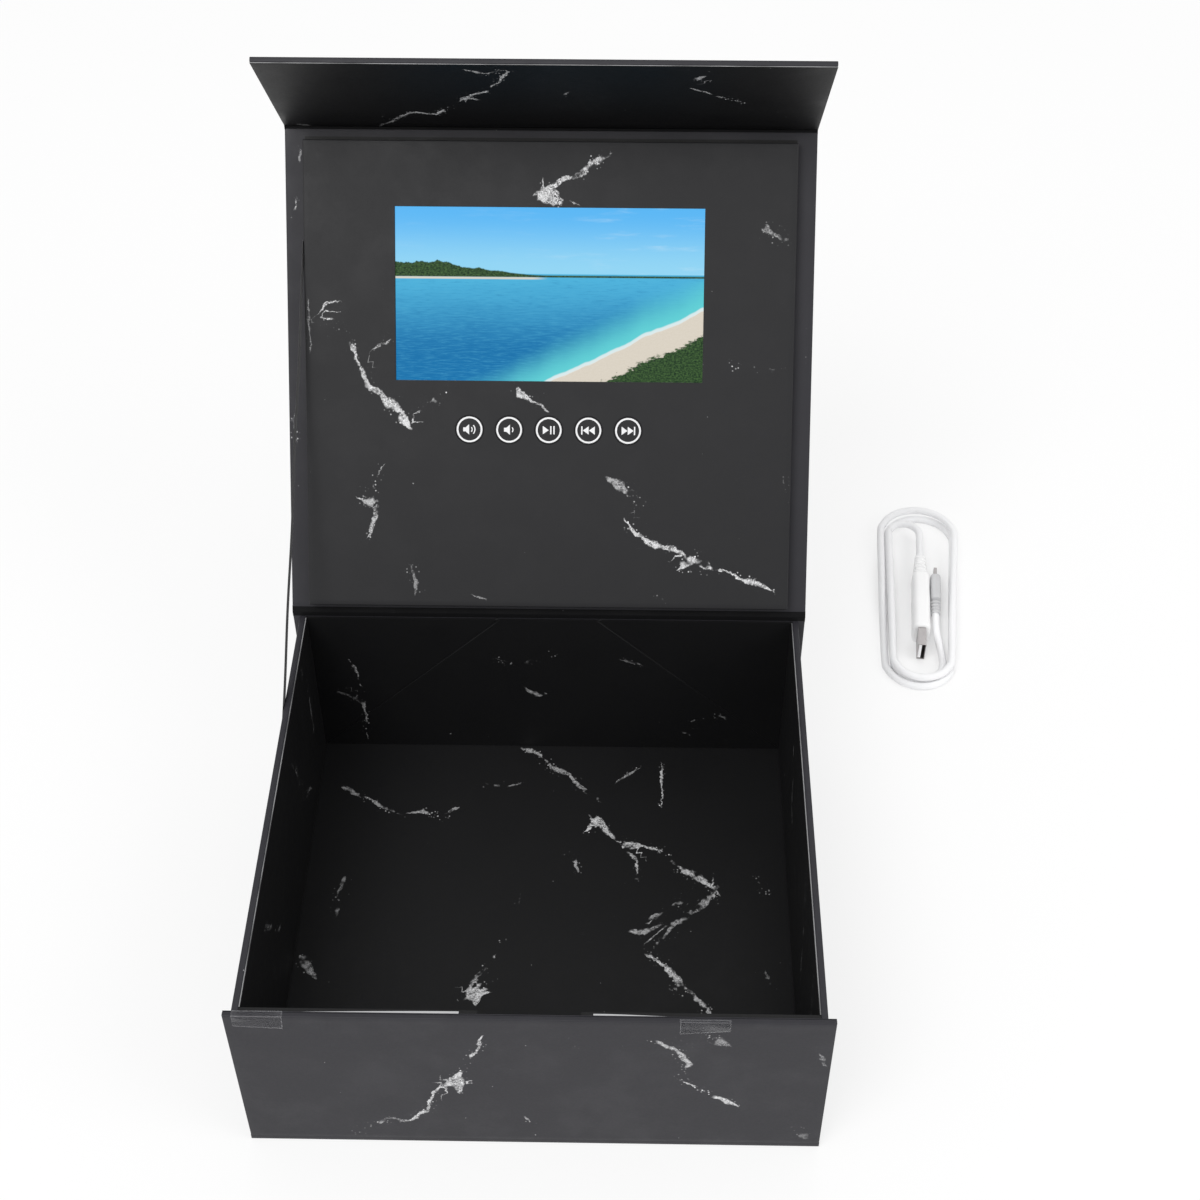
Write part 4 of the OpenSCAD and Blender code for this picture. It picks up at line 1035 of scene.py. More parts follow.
class GIFTBOX_OT_cover(bpy.types.Operator):
    """Wraps the five cover boards and lays the paper over their four folds"""
    bl_idname = "giftbox.cover"
    bl_label = "Cover"

    def execute(self, context):
        radius = box_sizes().edge_radius / MM
        for seed, node, plane, body in COVER_BOARDS:
            low, high = plane.extent(node)
            field = low[:2] / MM + STRAY_MARGIN, high[:2] / MM - STRAY_MARGIN
            strays = stray_veins(seed, *field, COVER_STRAYS)
            finish = FINISHES["lid_paper" if node == "lid_board" else "paper"]
            wrapped_board(node + "_paper", node, plane, strays, finish, body, "marbled_paper", radius)
        up, back = Vector((0, 0, 1)), Vector((0, 1, 0))
        fold_strip("lid_fold_paper", LID_AXIS, "box", -up, LID.up, -back, LID.out, "lid_fold_roll")
        fold_strip("flap_fold_paper", FLAP_AXIS, "lid", -LID.up, FLAP.up, LID.out, FLAP.out,
                   "flap_fold_roll")
        fold_strip("front_fold_paper", FRONT_AXIS, "box", back, up, up, back, "front_fold")
        corner = Vector((0, LID_AXIS.y, FRONT_AXIS.z))
        fold_strip("back_fold_paper", corner, "box", -back, up, up, -back, "back_fold", joint=False)
        return {"FINISHED"}


# Stray veins of a side wall's outer side, and the corners of their field in millimetres
WALL_STRAYS, WALL_STRAY_CORNERS = 3, ((-110, 10), (110, 95))


class GIFTBOX_OT_tray(bpy.types.Operator):
    """Builds the side walls and the printed linings of the tray"""
    bl_idname = "giftbox.tray"
    bl_label = "Tray"

    def execute(self, context):
        radius, thin = box_sizes().edge_radius / MM, box_sizes().lining_radius / MM
        for node, plane, seed in (("left_wall", LEFT, 5), ("right_wall", RIGHT_SIDE, 9)):
            strays = stray_veins(seed, *WALL_STRAY_CORNERS, WALL_STRAYS)
            wrapped_board(node + "_paper", node, plane, strays, FINISHES["paper"], "box", "marbled_paper",
                          radius)

        def lining(name, node, plane, finish, body="box"):
            wrapped_board(name, node, plane, [], FINISHES[finish], body, "lining_paper", thin)

        lining("floor_print", "floor_lining", FLOOR, "lining")
        lining("left_print", "left_lining", LEFT, "wall_lining")
        lining("right_print", "right_lining", RIGHT_SIDE, "wall_lining")
        back_lining(FINISHES["lining"])
        lining("flap_print", "flap_lining", FLAP, "flap_lining", "flap")
        lining("front_print", "front_lining", FRONT_INSIDE, "paper", "front_panel")
        for node in ("left_front_tab", "right_front_tab"):
            finish_node(node, FINISHES["tab"])
        return {"FINISHED"}


# Grid of the back lining, its creases' half width and depth, and where they start beside the lining's end
BACK_COLUMNS, BACK_ROWS = 100, 40
CREASE_HALF, CREASE_DEPTH, CREASE_START = 0.5 * MM, 0.45 * MM, 0.2 * MM


def back_lining(material):
    """The back lining as one sheet with its two slanting creases pressed in."""
    low = np.array(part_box("left_gusset")[0])
    high = np.array(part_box("right_gusset")[1])
    floor, top = low[2], high[2]
    bm = bmesh.new()
    grid = [[bm.verts.new((x, low[1], z)) for z in np.linspace(floor, top, BACK_ROWS + 1)]
            for x in np.linspace(low[0], high[0], BACK_COLUMNS + 1)]
    for i in range(BACK_COLUMNS):
        for j in range(BACK_ROWS):
            bm.faces.new((grid[i][j], grid[i + 1][j], grid[i + 1][j + 1], grid[i][j + 1]))
    lower_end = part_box("back_lining")[1].x + CREASE_START
    upper_end = lower_end - (top - floor)
    creases = []
    for side in (-1, 1):
        start = Vector((side * lower_end, 0, floor))
        run = (Vector((side * upper_end, 0, top)) - start).normalized()
        normal = Vector((run.z, 0, -run.x))
        creases.append((start, normal))
        for shift in (-CREASE_HALF, 0, CREASE_HALF):
            geometry = list(bm.verts) + list(bm.edges) + list(bm.faces)
            bmesh.ops.bisect_plane(bm, geom=geometry, plane_co=start + normal * shift, plane_no=normal)
    for vert in bm.verts:
        for start, normal in creases:
            if abs((Vector((vert.co.x, 0, vert.co.z)) - start).dot(normal)) < CREASE_HALF * 0.4:
                vert.co.y += CREASE_DEPTH
    bmesh.ops.recalc_face_normals(bm, faces=bm.faces)
    mesh = bpy.data.meshes.new("back_print")
    bm.to_mesh(mesh)
    bm.free()
    mesh.materials.append(material)
    obj = bpy.data.objects.new("back_print", mesh)
    bpy.context.scene.collection.objects.link(obj)
    solid = obj.modifiers.new("thickness", "SOLIDIFY")
    solid.thickness = high[1] - low[1]
    solid.offset = -1 if mesh.polygons[0].normal.y < 0 else 1
    apply_modifiers(obj)
    print_on(obj.data, "back_lining", FRONT)
    attach(obj, "box", "lining_paper", "back_lining", "left_gusset", "right_gusset")


def finish_node(node, material):
    """Gives a CAD node its finish."""
    slots = NODES[node].material_slots
    if slots:
        for item in slots:
            item.material = material
    else:
        NODES[node].data.materials.append(material)


def prism(name, outline, low, high, plane, material):
    """A straight prism over an outline in a panel's plane, between two heights, in metres."""
    n = len(outline)
    points = [plane.at(x, u, low) for x, u in outline] + [plane.at(x, u, high) for x, u in outline]
    faces = [tuple(range(n - 1, -1, -1)), tuple(range(n, 2 * n))]
    faces += [(i, (i + 1) % n, n + (i + 1) % n, n + i) for i in range(n)]
    return mesh_object(name, points, faces, material, smooth=False)


def circle_points(x, u, radius, count=48):
    return [(x + radius * math.cos(2 * math.pi * i / count), u + radius * math.sin(2 * math.pi * i / count))
            for i in range(count)]


BUTTONS = ("volume_up_button", "volume_down_button", "play_button", "previous_button", "next_button")
BUTTON_HOLE_RADIUS = 7.3 * MM
# How far the window's and the holes' cutters reach above and below the housing's face
CUT_REACH = 3 * MM


def button_place(node):
    """A button's middle across and up the lid, and its top."""
    low, high = LID.extent(node)
    return (low[0] + high[0]) / 2, (low[1] + high[1]) / 2, high[2]


class GIFTBOX_OT_housing(bpy.types.Operator):
    """Wraps the raised housing in the lid, cuts its window and its button holes, and lights the screen"""
    bl_idname = "giftbox.housing"
    bl_label = "Screen housing"

    def execute(self, context):
        face = wrapped_board("housing_paper", "housing_face", LID, [], FINISHES["housing"], "lid",
                             "marbled_paper", box_sizes().edge_radius / MM)
        openings = [[(-WINDOW_HALF, WINDOW_LOW), (WINDOW_HALF, WINDOW_LOW),
                     (WINDOW_HALF, WINDOW_HIGH), (-WINDOW_HALF, WINDOW_HIGH)]]
        openings += [circle_points(*button_place(node)[:2], BUTTON_HOLE_RADIUS) for node in BUTTONS]
        top = LID.extent("housing_face")[1][2]
        heights = top - CUT_REACH, top + CUT_REACH
        cut(face, [prism("cutter", outline, *heights, LID, None) for outline in openings])
        print_on(face.data, "housing_face", LID)
        sharpen(face)
        finish_node("housing_bars", FINISHES["housing"])
        finish_node("screen_glass", screen_picture(box_look()))
        return {"FINISHED"}


def arc_band(x, u, inner, outer, start, end, count=20):
    """Outline of a band along an arc."""
    angles = [start + (end - start) * i / count for i in range(count + 1)]
    return ([(x + outer * math.cos(a), u + outer * math.sin(a)) for a in angles]
            + [(x + inner * math.cos(a), u + inner * math.sin(a)) for a in reversed(angles)])


def icon_outlines(kind):
    """Outlines of each button's sign, in millimetres from its middle."""
    horn = [(-3.4, -1.0), (-2.2, -1.0), (-0.4, -2.6), (-0.4, 2.6), (-2.2, 1.0), (-3.4, 1.0)]
    near, far = (arc_band(-0.9, 0, inner, inner + 0.55, -0.75, 0.75) for inner in (1.45, 2.85))
    bar = [(-0.35, -2.1), (0.35, -2.1), (0.35, 2.1), (-0.35, 2.1)]

    def moved(points, dx, flip=1):
        return [(dx + flip * x, y) for x, y in points]

    arrow = [(-1.5, -2.1), (1.5, 0), (-1.5, 2.1)]
    if kind == "volume_up_button":
        return [moved(horn, 0.2), moved(near, 0.5), moved(far, 0.5)]
    if kind == "volume_down_button":
        return [moved(horn, 0.8), moved(near, 1.1)]
    if kind == "play_button":
        return [moved(arrow, -1.5), moved(bar, 1.05), moved(bar, 2.65)]
    if kind == "previous_button":
        return [moved(bar, -3.3), moved(arrow, -1.35, -1), moved(arrow, 1.75, -1)]
    return [moved(arrow, -1.75), moved(arrow, 1.35), moved(bar, 3.3)]


def join(name, objects):
    """Joins pieces into one, with the first one's materials."""
    bm = bmesh.new()
    for obj in objects:
        bm.from_mesh(obj.data)
    mesh = bpy.data.meshes.new(name)
    bm.to_mesh(mesh)
    bm.free()
    for material in objects[0].data.materials:
        mesh.materials.append(material)
    joined = bpy.data.objects.new(name, mesh)
    bpy.context.scene.collection.objects.link(joined)
    for obj in objects:
        bpy.data.objects.remove(obj)
    return joined


# Faces round a printed ring, and the height of the print on a button
RING_SIDES, SIGN_HEIGHT = 64, 0.04 * MM


class GIFTBOX_OT_buttons(bpy.types.Operator):
    """Finishes the five buttons and prints a ring and a sign on each"""
    bl_idname = "giftbox.buttons"
    bl_label = "Buttons"

    def execute(self, context):
        outer = box_sizes().ring_diameter / 2
        inner = outer - box_sizes().ring_width
        for node in BUTTONS:
            finish_node(node, FINISHES["housing"])
            x, up, top = button_place(node)
            raised = top + SIGN_HEIGHT
            points, faces = [], []
            for radius, height in ((inner, top), (inner, raised), (outer, raised), (outer, top)):
                points += [LID.at(px, pu, height) for px, pu in circle_points(x, up, radius, RING_SIDES)]
            for band in range(3):
                for i in range(RING_SIDES):
                    a, b = band * RING_SIDES + i, band * RING_SIDES + (i + 1) % RING_SIDES
                    faces.append((b, a, a + RING_SIDES, b + RING_SIDES))
            parts = [mesh_object("ring", points, faces, FINISHES["ink"], smooth=False)]
            for outline in icon_outlines(node):
                placed = [(x + px * MM, up + py * MM) for px, py in outline]
                parts.append(prism("sign", placed, top, raised, LID, FINISHES["ink"]))
            name = node.replace("_button", "_sign")
            attach(join(name, parts), node.replace("_button", "_key"), "marbled_paper")
        return {"FINISHED"}


FRONT_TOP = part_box("front_board")[1].z
TAPE_ROWS, TAPE_COLUMNS = 30, 40
# Width of the paler rim along a tape's cut edges, partly the film's edge and partly a painted highlight, and
# how much narrower it is at the bend, where it is a painted highlight
RIM_AND_HIGHLIGHT_WIDTH, BEND_HIGHLIGHT_SHARE = 0.5 * MM, 1.4


def tape_piece(node, slant, lean):
    """A tape down the front board's face and over its upper edge, cut at a slant and a little wrinkled."""
    low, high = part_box(node)
    thick = high.z - FRONT_TOP
    corner = 1 - (high.y - low.y) / (high.y - low.y + high.z - low.z)
    outer, inner, rim = [], [], []
    for i in range(TAPE_ROWS):
        s = i / (TAPE_ROWS - 1)
        for j in range(TAPE_COLUMNS):
            r = j / (TAPE_COLUMNS - 1)
            foot = low.z + slant * (r if slant > 0 else r - 1)
            shear = lean * (1 - s)
            x = min(max(low.x + (high.x - low.x) * r + shear, low.x), high.x)
            wave = 0.5 + 0.5 * math.sin(9 * r + 5 * s) * math.sin(14 * s)
            if s < corner:
                z = foot + (high.z - foot) * s / corner
                outer.append((x, low.y + thick * 0.3 * wave, min(z, high.z - thick * 0.3)))
                inner.append((x, low.y + thick * 0.9, min(z, high.z - thick)))
            else:
                y = low.y + (high.y - low.y) * (s - corner) / (1 - corner)
                outer.append((x, max(y, low.y + thick * 0.3), high.z - thick * 0.3 * wave))
                inner.append((x, max(y, low.y + thick), high.z - thick * 0.9))
            edge = min(r, 1 - r) * (high.x - low.x)
            ends = min(s, 1 - s) * (high.z - low.z)
            bend = abs(s - corner) * (high.z - low.z)
            # The rim: the film's cut edges, and a painted highlight along them and along the bend
            rim.append(max(0, 1 - min(edge, ends, bend * BEND_HIGHLIGHT_SHARE) / RIM_AND_HIGHLIGHT_WIDTH))
    layers = (np.array(layer).reshape(TAPE_ROWS, TAPE_COLUMNS, 3) for layer in (outer, inner))
    tape = two_layers(node + "_strip", *layers, FINISHES["tape"])
    store_values(tape.data, "rim", np.repeat(rim + rim, 3))
    attach(tape, "front_panel", "clear_tape", node)


RIBBON_ROWS, RIBBON_COLUMNS = 120, 9
# Share of the CAD ribbon's length and width that the cloth takes, and its greatest sag
RIBBON_LENGTH_SHARE, RIBBON_WIDTH_SHARE = 0.985, 0.97
RIBBON_SAG = 0.25 * MM


class GIFTBOX_OT_ribbon_and_tape(bpy.types.Operator):
    """Hangs the ribbon between lid and wall, and sticks two clear tapes over the front board's edge"""
    bl_idname = "giftbox.ribbon_and_tape"
    bl_label = "Ribbon and tape"

    def execute(self, context):
        mesh = NODES["ribbon"].data
        points = np.array([tuple(v.co) for v in mesh.vertices])
        middle = points.mean(0)
        _, _, axes = np.linalg.svd(points - middle)
        along, wide, thick = axes
        if along[2] < 0:
            along = -along
        reach, half, depth = np.abs((points - middle) @ np.array((along, wide, thick)).T).max(0)
        t, s = np.meshgrid(np.linspace(-1, 1, RIBBON_ROWS), np.linspace(-1, 1, RIBBON_COLUMNS), indexing="ij")
        sheet = middle + along * (t * reach * RIBBON_LENGTH_SHARE)[..., None]
        sheet = sheet + wide * (s * half * RIBBON_WIDTH_SHARE)[..., None]
        sag = (RIBBON_SAG * np.sin(t * 9) * (1 - t * t))[..., None]
        selvedge = depth * (0.7 - 0.45 * np.abs(s) ** 6)[..., None]
        layers = (sheet + thick * (sag - selvedge), sheet + thick * (sag + selvedge))
        ribbon = two_layers("ribbon_cloth", *layers, FINISHES["ribbon"])
        sharpen(ribbon, degrees=60)
        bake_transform(ribbon)
        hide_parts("ribbon")
        tape_piece("left_tape", slant=-1.5 * MM, lean=-0.4 * MM)
        tape_piece("right_tape", slant=2.5 * MM, lean=0.3 * MM)
        return {"FINISHED"}


class GIFTBOX_OT_inner_parts(bpy.types.Operator):
    """Finishes the parts inside the housing, the magnets and the plates"""
    bl_idname = "giftbox.inner_parts"
    bl_label = "Inner parts"

    def execute(self, context):
        for finish, nodes in INNER_FINISHES.items():
            for node in nodes:
                finish_node(node, FINISHES[finish])
        return {"FINISHED"}


INNER_FINISHES = {
    "steel": ("screen_frame", "front_plates"),
    "white": ("screen_backlight", "usb_a_tongue"),
    "flat_cable": ("screen_cable", "switch_cable"),
    "circuit": ("main_circuit", "switch_circuit"),
    "foam": ("main_pads",),
    "black": ("main_chips", "port_tongue", "speaker", "speaker_cone", "switches"),
    "plate": ("charging_port", "flap_magnets"),
    "foil": ("battery",),
    "wire": ("battery_leads", "speaker_leads"),
}

# The cable's hank: its own axes stand on the floor, turned a little to the right
HANK = Plane((0.2145, 0.2375, 0),
             (math.cos(math.radians(5)), -math.sin(math.radians(5)), 0),
             (math.sin(math.radians(5)), math.cos(math.radians(5)), 0))
CABLE_D = 4.4
HANK_RUN, BACK_R, FRONT_R = 102, 16.5, 13.2
STEP = CABLE_D + 0.6
LOW_Z = CABLE_D / 2
HIGH_Z = LOW_Z + STEP
FOLD_Y = HANK_RUN / 2
TILT = math.degrees(math.asin((BACK_R - FRONT_R) / HANK_RUN))
PLUG_X, PLUG_Z, RELIEF_Y = 0.3, 7.7, 30
PLUG_FRONT, PLUG_BACK, PLUG_W, PLUG_T = -34, 12, 10.5, 15.4
TIP = (9.35, -14.5, 5.2)
TIP_FRONT, TIP_BACK, TIP_W, TIP_T = -4.5, 15.5, 6.4, 10.4
# Rings of the route along a straight run, round a fold, round a whole loop and up to the hank's end
RUN_RINGS, FOLD_RINGS, LAST_RING = 3, 9, 60
HALF_LOOP = RUN_RINGS + FOLD_RINGS
LOOP = 2 * HALF_LOOP
# Where the hank changes from its upper to its lower layer
REVERSAL = LOOP + RUN_RINGS / 2


def ease(t):
    return t * t * (3 - 2 * t)


def loop_point(k):
    """A point of the hank's loops, in millimetres of its own axes."""
    m = k % LOOP
    n = m - HALF_LOOP
    if m < RUN_RINGS:
        y, turn = FOLD_Y * (1 - 2 * m / RUN_RINGS), -TILT
    elif m < HALF_LOOP:
        y, turn = -FOLD_Y, -TILT - (m - RUN_RINGS) / FOLD_RINGS * (180 - 2 * TILT)
    elif n < RUN_RINGS:
        y, turn = FOLD_Y * (2 * n / RUN_RINGS - 1), TILT - 180
    else:
        y, turn = FOLD_Y, TILT - 180 - (n - RUN_RINGS) / FOLD_RINGS * (180 + 2 * TILT)
    spiral = STEP / LOOP * (k + LAST_RING - 2 * REVERSAL if k < REVERSAL else LAST_RING - k)
    radius = FRONT_R + (BACK_R - FRONT_R) * (y / HANK_RUN + 0.5) + spiral
    z = LOW_Z
    if k < LOOP:
        z = HIGH_Z
    elif k < LOOP + RUN_RINGS:
        z = HIGH_Z - STEP * ease((k - LOOP) / RUN_RINGS)
    a = math.radians(turn)
    return np.array((-radius * math.cos(a), y + radius * math.sin(a), z))


def cable_route():
    """The cable's whole route, the same points as the model's."""
    lead_r = (PLUG_X - loop_point(0)[0]) / 2
    route = [np.array((PLUG_X, RELIEF_Y + (FOLD_Y - RELIEF_Y) * t, PLUG_Z + (HIGH_Z - PLUG_Z) * ease(t)))
             for t in (0, 0.35, 0.7)]
    for degrees in range(180, 19, -20):
        a = math.radians(degrees)
        route.append(np.array((PLUG_X - lead_r * (1 + math.cos(a)), FOLD_Y + lead_r * math.sin(a), HIGH_Z)))
    route += [loop_point(k) for k in range(LAST_RING + 1)]
    last = loop_point(LAST_RING)
    run = np.array(TIP) - last
    for t in (0.12, 0.25, 0.38, 0.5, 0.62, 0.75, 0.87, 1):
        e = ease(min(1, t / 0.75))
        route.append(last + np.array((run[0] * e, run[1] * t, run[2] * e)))
    return route


def smooth_route(points, parts=3):
    """Points on a smooth curve through a route."""
    result = []
    for i in range(len(points) - 1):
        a, b = points[max(i - 1, 0)], points[i]
        c, d = points[i + 1], points[min(i + 2, len(points) - 1)]
        for k in range(parts):
            t = k / parts
            result.append(0.5 * (2 * b + (c - a) * t + (2 * a - 5 * b + 4 * c - d) * t * t
                                 + (3 * b - a - 3 * c + d) * t ** 3))
    result.append(points[-1])
    return result


def tube(name, route, radius, sides, material):
    """A round tube along a route, closed at both ends."""
    points = []
    for i, p in enumerate(route):
        tangent = (route[min(i + 1, len(route) - 1)] - route[max(i - 1, 0)]).normalized()
        side = tangent.cross(Vector((0, 0, 1))).normalized()
        up = side.cross(tangent)
        for s in range(sides):
            a = 2 * math.pi * s / sides
            points.append(p + (side * math.cos(a) + up * math.sin(a)) * radius)
    faces = [(face[0], *face[:0:-1]) for face in ring_faces(len(route), sides)]
    return mesh_object(name, points, faces, material)


def lofted(name, sections, middle_x, middle_z, material, sides=40):
    """A closed body along the hank's axis. A section is its place, half width, half height and squareness."""
    points = []
    for y, half_x, half_z, square in sections:
        for s in range(sides):
            a = 2 * math.pi * s / sides
            c, d = math.cos(a), math.sin(a)
            x = middle_x + half_x * math.copysign(abs(c) ** (2 / square), c)
            z = middle_z + half_z * math.copysign(abs(d) ** (2 / square), d)
            points.append(HANK.at(x * MM, y * MM, z * MM))
    obj = mesh_object(name, points, ring_faces(len(sections), sides), material)
    sharpen(obj, degrees=50)
    return obj


# Sections along a grip's middle, and the millimetres that its rounded ends take
GRIP_STEPS, GRIP_END = 12, 2
# Depth from a grip's first and last end, and its size there as a share of the whole
FIRST_ROUND = ((0, 0.72), (0.15, 0.82), (0.5, 0.92), (1.2, 0.98))
LAST_ROUND = ((1.2, 0.98), (0.5, 0.92), (0.15, 0.84), (0, 0.74))


def grip_sections(start, end, half_x, half_z, square, wave):
    """Sections of a grip with rounded ends and slightly waisted sides."""
    way = 1 if end > start else -1
    rounded = [(start + way * depth, size) for depth, size in FIRST_ROUND]
    closing = [(end - way * depth, size) for depth, size in LAST_ROUND]
    middle = []
    for i in range(GRIP_STEPS + 1):
        size = 1 - wave * (1 - math.cos(4 * math.pi * i / GRIP_STEPS))
        middle.append((start + way * GRIP_END + (end - start - way * 2 * GRIP_END) * i / GRIP_STEPS, size))
    return [(y, half_x * size, half_z * (0.5 + 0.5 * size), square) for y, size in rounded + middle + closing]


def rib_sections(start, end, count, big, small, core):
    """Sections of the ribbed end of a plug, from its grip to the cable."""
    sections = []
    pitch = (end - start) / count
    for i in range(count):
        size = big + (small - big) * i / (count - 1)
        y = start + pitch * i
        shoulder = size * 0.94
        for share, radius in ((0.0, core), (0.34, core), (0.4, shoulder), (0.46, size), (0.9, size),
                              (0.96, shoulder)):
            sections.append((y + pitch * share, radius, radius, 2.6))
    sections.append((end, core, core, 2))
    return sections


class GIFTBOX_OT_cable(bpy.types.Operator):
    """Lays the charging cable in its hank and finishes its two plugs"""
    bl_idname = "giftbox.cable"
    bl_label = "Charging cable"

    def execute(self, context):
        route = [HANK.at(*(p * MM)) for p in smooth_route(cable_route())]
        cable = tube("cable_tube", route, CABLE_D / 2 * MM, box_sizes().tube_sides, FINISHES["sheath"])
        attach(cable, "box", "cable_sheath", "usb_cable")
        for node in ("usb_a_shell", "micro_usb_shell"):
            finish_node(node, FINISHES["plate"])
        plug = grip_sections(PLUG_FRONT, PLUG_BACK, PLUG_W / 2, PLUG_T / 2, square=3.6, wave=0.02)
        plug += rib_sections(PLUG_BACK, RELIEF_Y, count=6, big=4.3, small=3.2, core=2.4)
        tip = grip_sections(TIP_BACK, TIP_FRONT, TIP_W / 2, TIP_T / 2, square=3.4, wave=0.0)
        tip += rib_sections(TIP_FRONT, TIP[1], count=4, big=3.1, small=2.7, core=2.3)
        large = lofted("large_plug", plug, PLUG_X, PLUG_Z, FINISHES["white"])
        small = lofted("small_plug", tip[::-1], TIP[0], TIP[2], FINISHES["tip"])
        attach(large, "box", "white_plastic", "usb_a_grip")
        attach(small, "box", "white_plastic", "micro_usb_grip")
        return {"FINISHED"}


class GIFTBOX_OT_stage(bpy.types.Operator):
    """Sets the pale floor, the soft lights and the camera"""
    bl_idname = "giftbox.stage"
    bl_label = "Stage"

    def execute(self, context):
        scene = context.scene
        scene.view_settings.view_transform = "Standard"
        corners = [(x * FLOOR_HALF, y * FLOOR_HALF, 0) for x, y in ((-1, -1), (1, -1), (1, 1), (-1, 1))]
        floor = mesh_object("floor", corners, [(0, 1, 2, 3)], floor_material(), smooth=False)
        floor.location.z = -FLOOR_GAP
        world = bpy.data.worlds.new("studio")
        scene.world = world
        world.use_nodes = True
        t = Tree(world.node_tree)
        background = world.node_tree.nodes["Background"]
        path = t.add("ShaderNodeLightPath").outputs
        seen = t.math("MAXIMUM", path["Is Camera Ray"], path["Is Transmission Ray"])
        t.put(background.inputs["Strength"], t.ramp(seen, 0, 1, SKY_LIGHT, 1.0))
        background.inputs["Color"].default_value = (1, 1, 1, 1)
        for name, place, size, watts in LAMPS:
            data = bpy.data.lights.new(name, "AREA")
            data.shape, data.size, data.energy = "DISK", size, watts
            lamp = bpy.data.objects.new(name, data)
            lamp.location = place
            lamp.rotation_euler = (LAMP_AIM - Vector(place)).to_track_quat("-Z", "Y").to_euler()
            scene.collection.objects.link(lamp)
        camera = bpy.data.cameras.new("camera")
        camera.lens = CAMERA_F / PHOTO_SIZE * camera.sensor_width
        camera.clip_end = 50
        view = bpy.data.objects.new("camera", camera)
        view.matrix_world = camera_matrix()
        scene.collection.objects.link(view)
        scene.camera = view
        return {"FINISHED"}


FLOOR_HALF, FLOOR_GAP = 6, 0.2 * MM
# Strength of the world's light where the camera doesn't see it
SKY_LIGHT = 0.62
LAMP_AIM = Vector((0, 0.05, 0.1))
# Name, place, size in metres and power in watts
LAMPS = [
    ("key light", (-1.0, -1.5, 2.6), 1.6, 42),
    ("fill light", (1.8, -0.8, 1.8), 1.4, 14),
    ("back light", (0.2, 2.0, 2.2), 1.4, 7),
]
# The camera as fitted to the photograph. Its focal length is in pixels of the photograph's size.
CAMERA_F, PHOTO_SIZE = 1947.749, 1200
CAMERA_PLACE = Vector((0.039213, -0.584588, 0.824431))
CAMERA_PITCH, CAMERA_YAW, CAMERA_ROLL = (math.radians(a) for a in (45.11, -1.025, 0.096))


# The floor's glow: where it starts and ends to rise with distance, its least share, and how much of it the
# hank's shade takes inside an ellipse with these half axes
GLOW_NEAR, GLOW_FAR, GLOW_LEAST = 0.8, 2.4, 0.76
HANK_SHADE, SHADE_X, SHADE_Y = 0.42, 30 * MM, 75 * MM


def camera_matrix():
    """The camera's place and turn: first its yaw and pitch, then its roll."""
    level = Vector((math.sin(CAMERA_YAW), math.cos(CAMERA_YAW), 0)) * math.cos(CAMERA_PITCH)
    forward = level - Vector((0, 0, math.sin(CAMERA_PITCH)))
    right = Vector((math.cos(CAMERA_YAW), -math.sin(CAMERA_YAW), 0))
    down = forward.cross(right)
    across = right * math.cos(CAMERA_ROLL) + down * math.sin(CAMERA_ROLL)
    down = down * math.cos(CAMERA_ROLL) - right * math.sin(CAMERA_ROLL)
    turn = Matrix((across, -down, -forward)).transposed().to_4x4()
    return Matrix.Translation(CAMERA_PLACE) @ turn


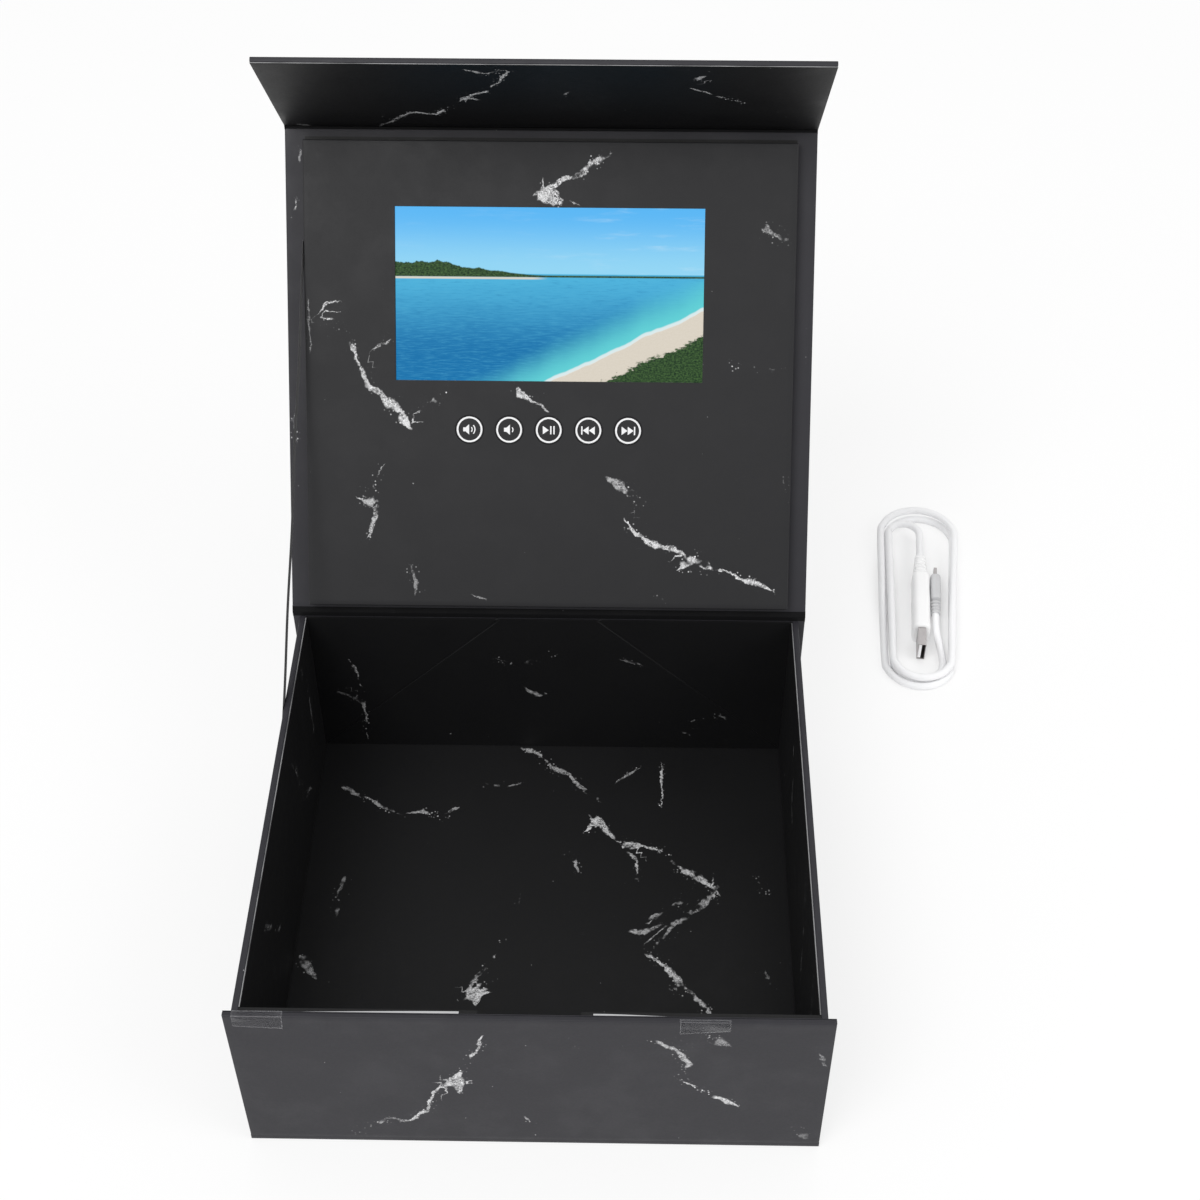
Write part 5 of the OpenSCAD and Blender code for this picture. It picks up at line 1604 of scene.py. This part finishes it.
def floor_material():
    """Pale floor that glows where it is seen straight or in a reflection, and takes the object's shadow."""
    t, shader, material = new_material("floor")
    place = t.position()
    t.put(shader["Base Color"], t.mix(t.noise(place, 3, 2), (0.92, 0.92, 0.92), (0.94, 0.94, 0.94)))
    shader["Roughness"].default_value = 0.7
    shader["Specular IOR Level"].default_value = 0.2
    glow = t.add("ShaderNodeEmission")
    glow.inputs["Strength"].default_value = 1.0
    path = t.add("ShaderNodeLightPath").outputs
    mirrored = t.math("MAXIMUM", path["Is Glossy Ray"], path["Is Transmission Ray"])
    seen = t.math("MAXIMUM", path["Is Camera Ray"], mirrored)
    x, y, _ = t.parts(place)
    away = t.math("SQRT", t.plus(t.math("POWER", x, 2.0), t.math("POWER", y, 2.0)))
    middle = HANK.at(0, 0, 0)
    ellipse = [t.math("POWER", t.math("DIVIDE", t.minus(value, centre), half), 2.0)
               for value, centre, half in ((x, middle.x, SHADE_X), (y, middle.y, SHADE_Y))]
    shade = t.ramp(t.plus(*ellipse), 1.0, 0.3, 0.0, HANK_SHADE)
    glow_share = t.minus(t.ramp(away, GLOW_NEAR, GLOW_FAR, GLOW_LEAST, 1.0), shade)
    mix = t.add("ShaderNodeMixShader")
    t.put(mix.inputs[0], t.times(seen, glow_share))
    nodes = material.node_tree.nodes
    t.put(mix.inputs[1], nodes["Principled BSDF"].outputs[0])
    t.put(mix.inputs[2], glow.outputs[0])
    t.put(nodes["Material Output"].inputs["Surface"], mix.outputs[0])
    return material


OPERATORS = (GIFTBOX_OT_stage, GIFTBOX_OT_cable, GIFTBOX_OT_cover, GIFTBOX_OT_tray, GIFTBOX_OT_housing,
             GIFTBOX_OT_buttons, GIFTBOX_OT_ribbon_and_tape, GIFTBOX_OT_inner_parts)


class GIFTBOX_PT_panel(bpy.types.Panel):
    """Lists the gift box's sizes, colours and steps"""
    bl_idname = "GIFTBOX_PT_panel"
    bl_label = "Gift box"
    bl_space_type = "VIEW_3D"
    bl_region_type = "UI"
    bl_category = "Gift box"

    def draw(self, context):
        for group in (context.scene.gift_box_sizes, context.scene.gift_box_look):
            for key in group.bl_rna.properties.keys():
                if key not in ("rna_type", "name"):
                    self.layout.prop(group, key)
        for operator in OPERATORS:
            self.layout.operator(operator.bl_idname)


CLASSES = (BoxSizes, BoxLook, *OPERATORS, GIFTBOX_PT_panel)


def register():
    for item in CLASSES:
        bpy.utils.register_class(item)
    bpy.types.Scene.gift_box_sizes = PointerProperty(type=BoxSizes)
    bpy.types.Scene.gift_box_look = PointerProperty(type=BoxLook)


def unregister():
    del bpy.types.Scene.gift_box_sizes
    del bpy.types.Scene.gift_box_look
    for item in reversed(CLASSES):
        bpy.utils.unregister_class(item)


def main():
    """Registers the add-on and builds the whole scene."""
    register()
    FINISHES.update(setup_materials(box_look()))
    bpy.ops.giftbox.stage()
    bpy.ops.giftbox.cable()
    bpy.ops.giftbox.cover()
    bpy.ops.giftbox.tray()
    bpy.ops.giftbox.housing()
    bpy.ops.giftbox.buttons()
    bpy.ops.giftbox.ribbon_and_tape()
    bpy.ops.giftbox.inner_parts()


if __name__ == "__main__":
    main()
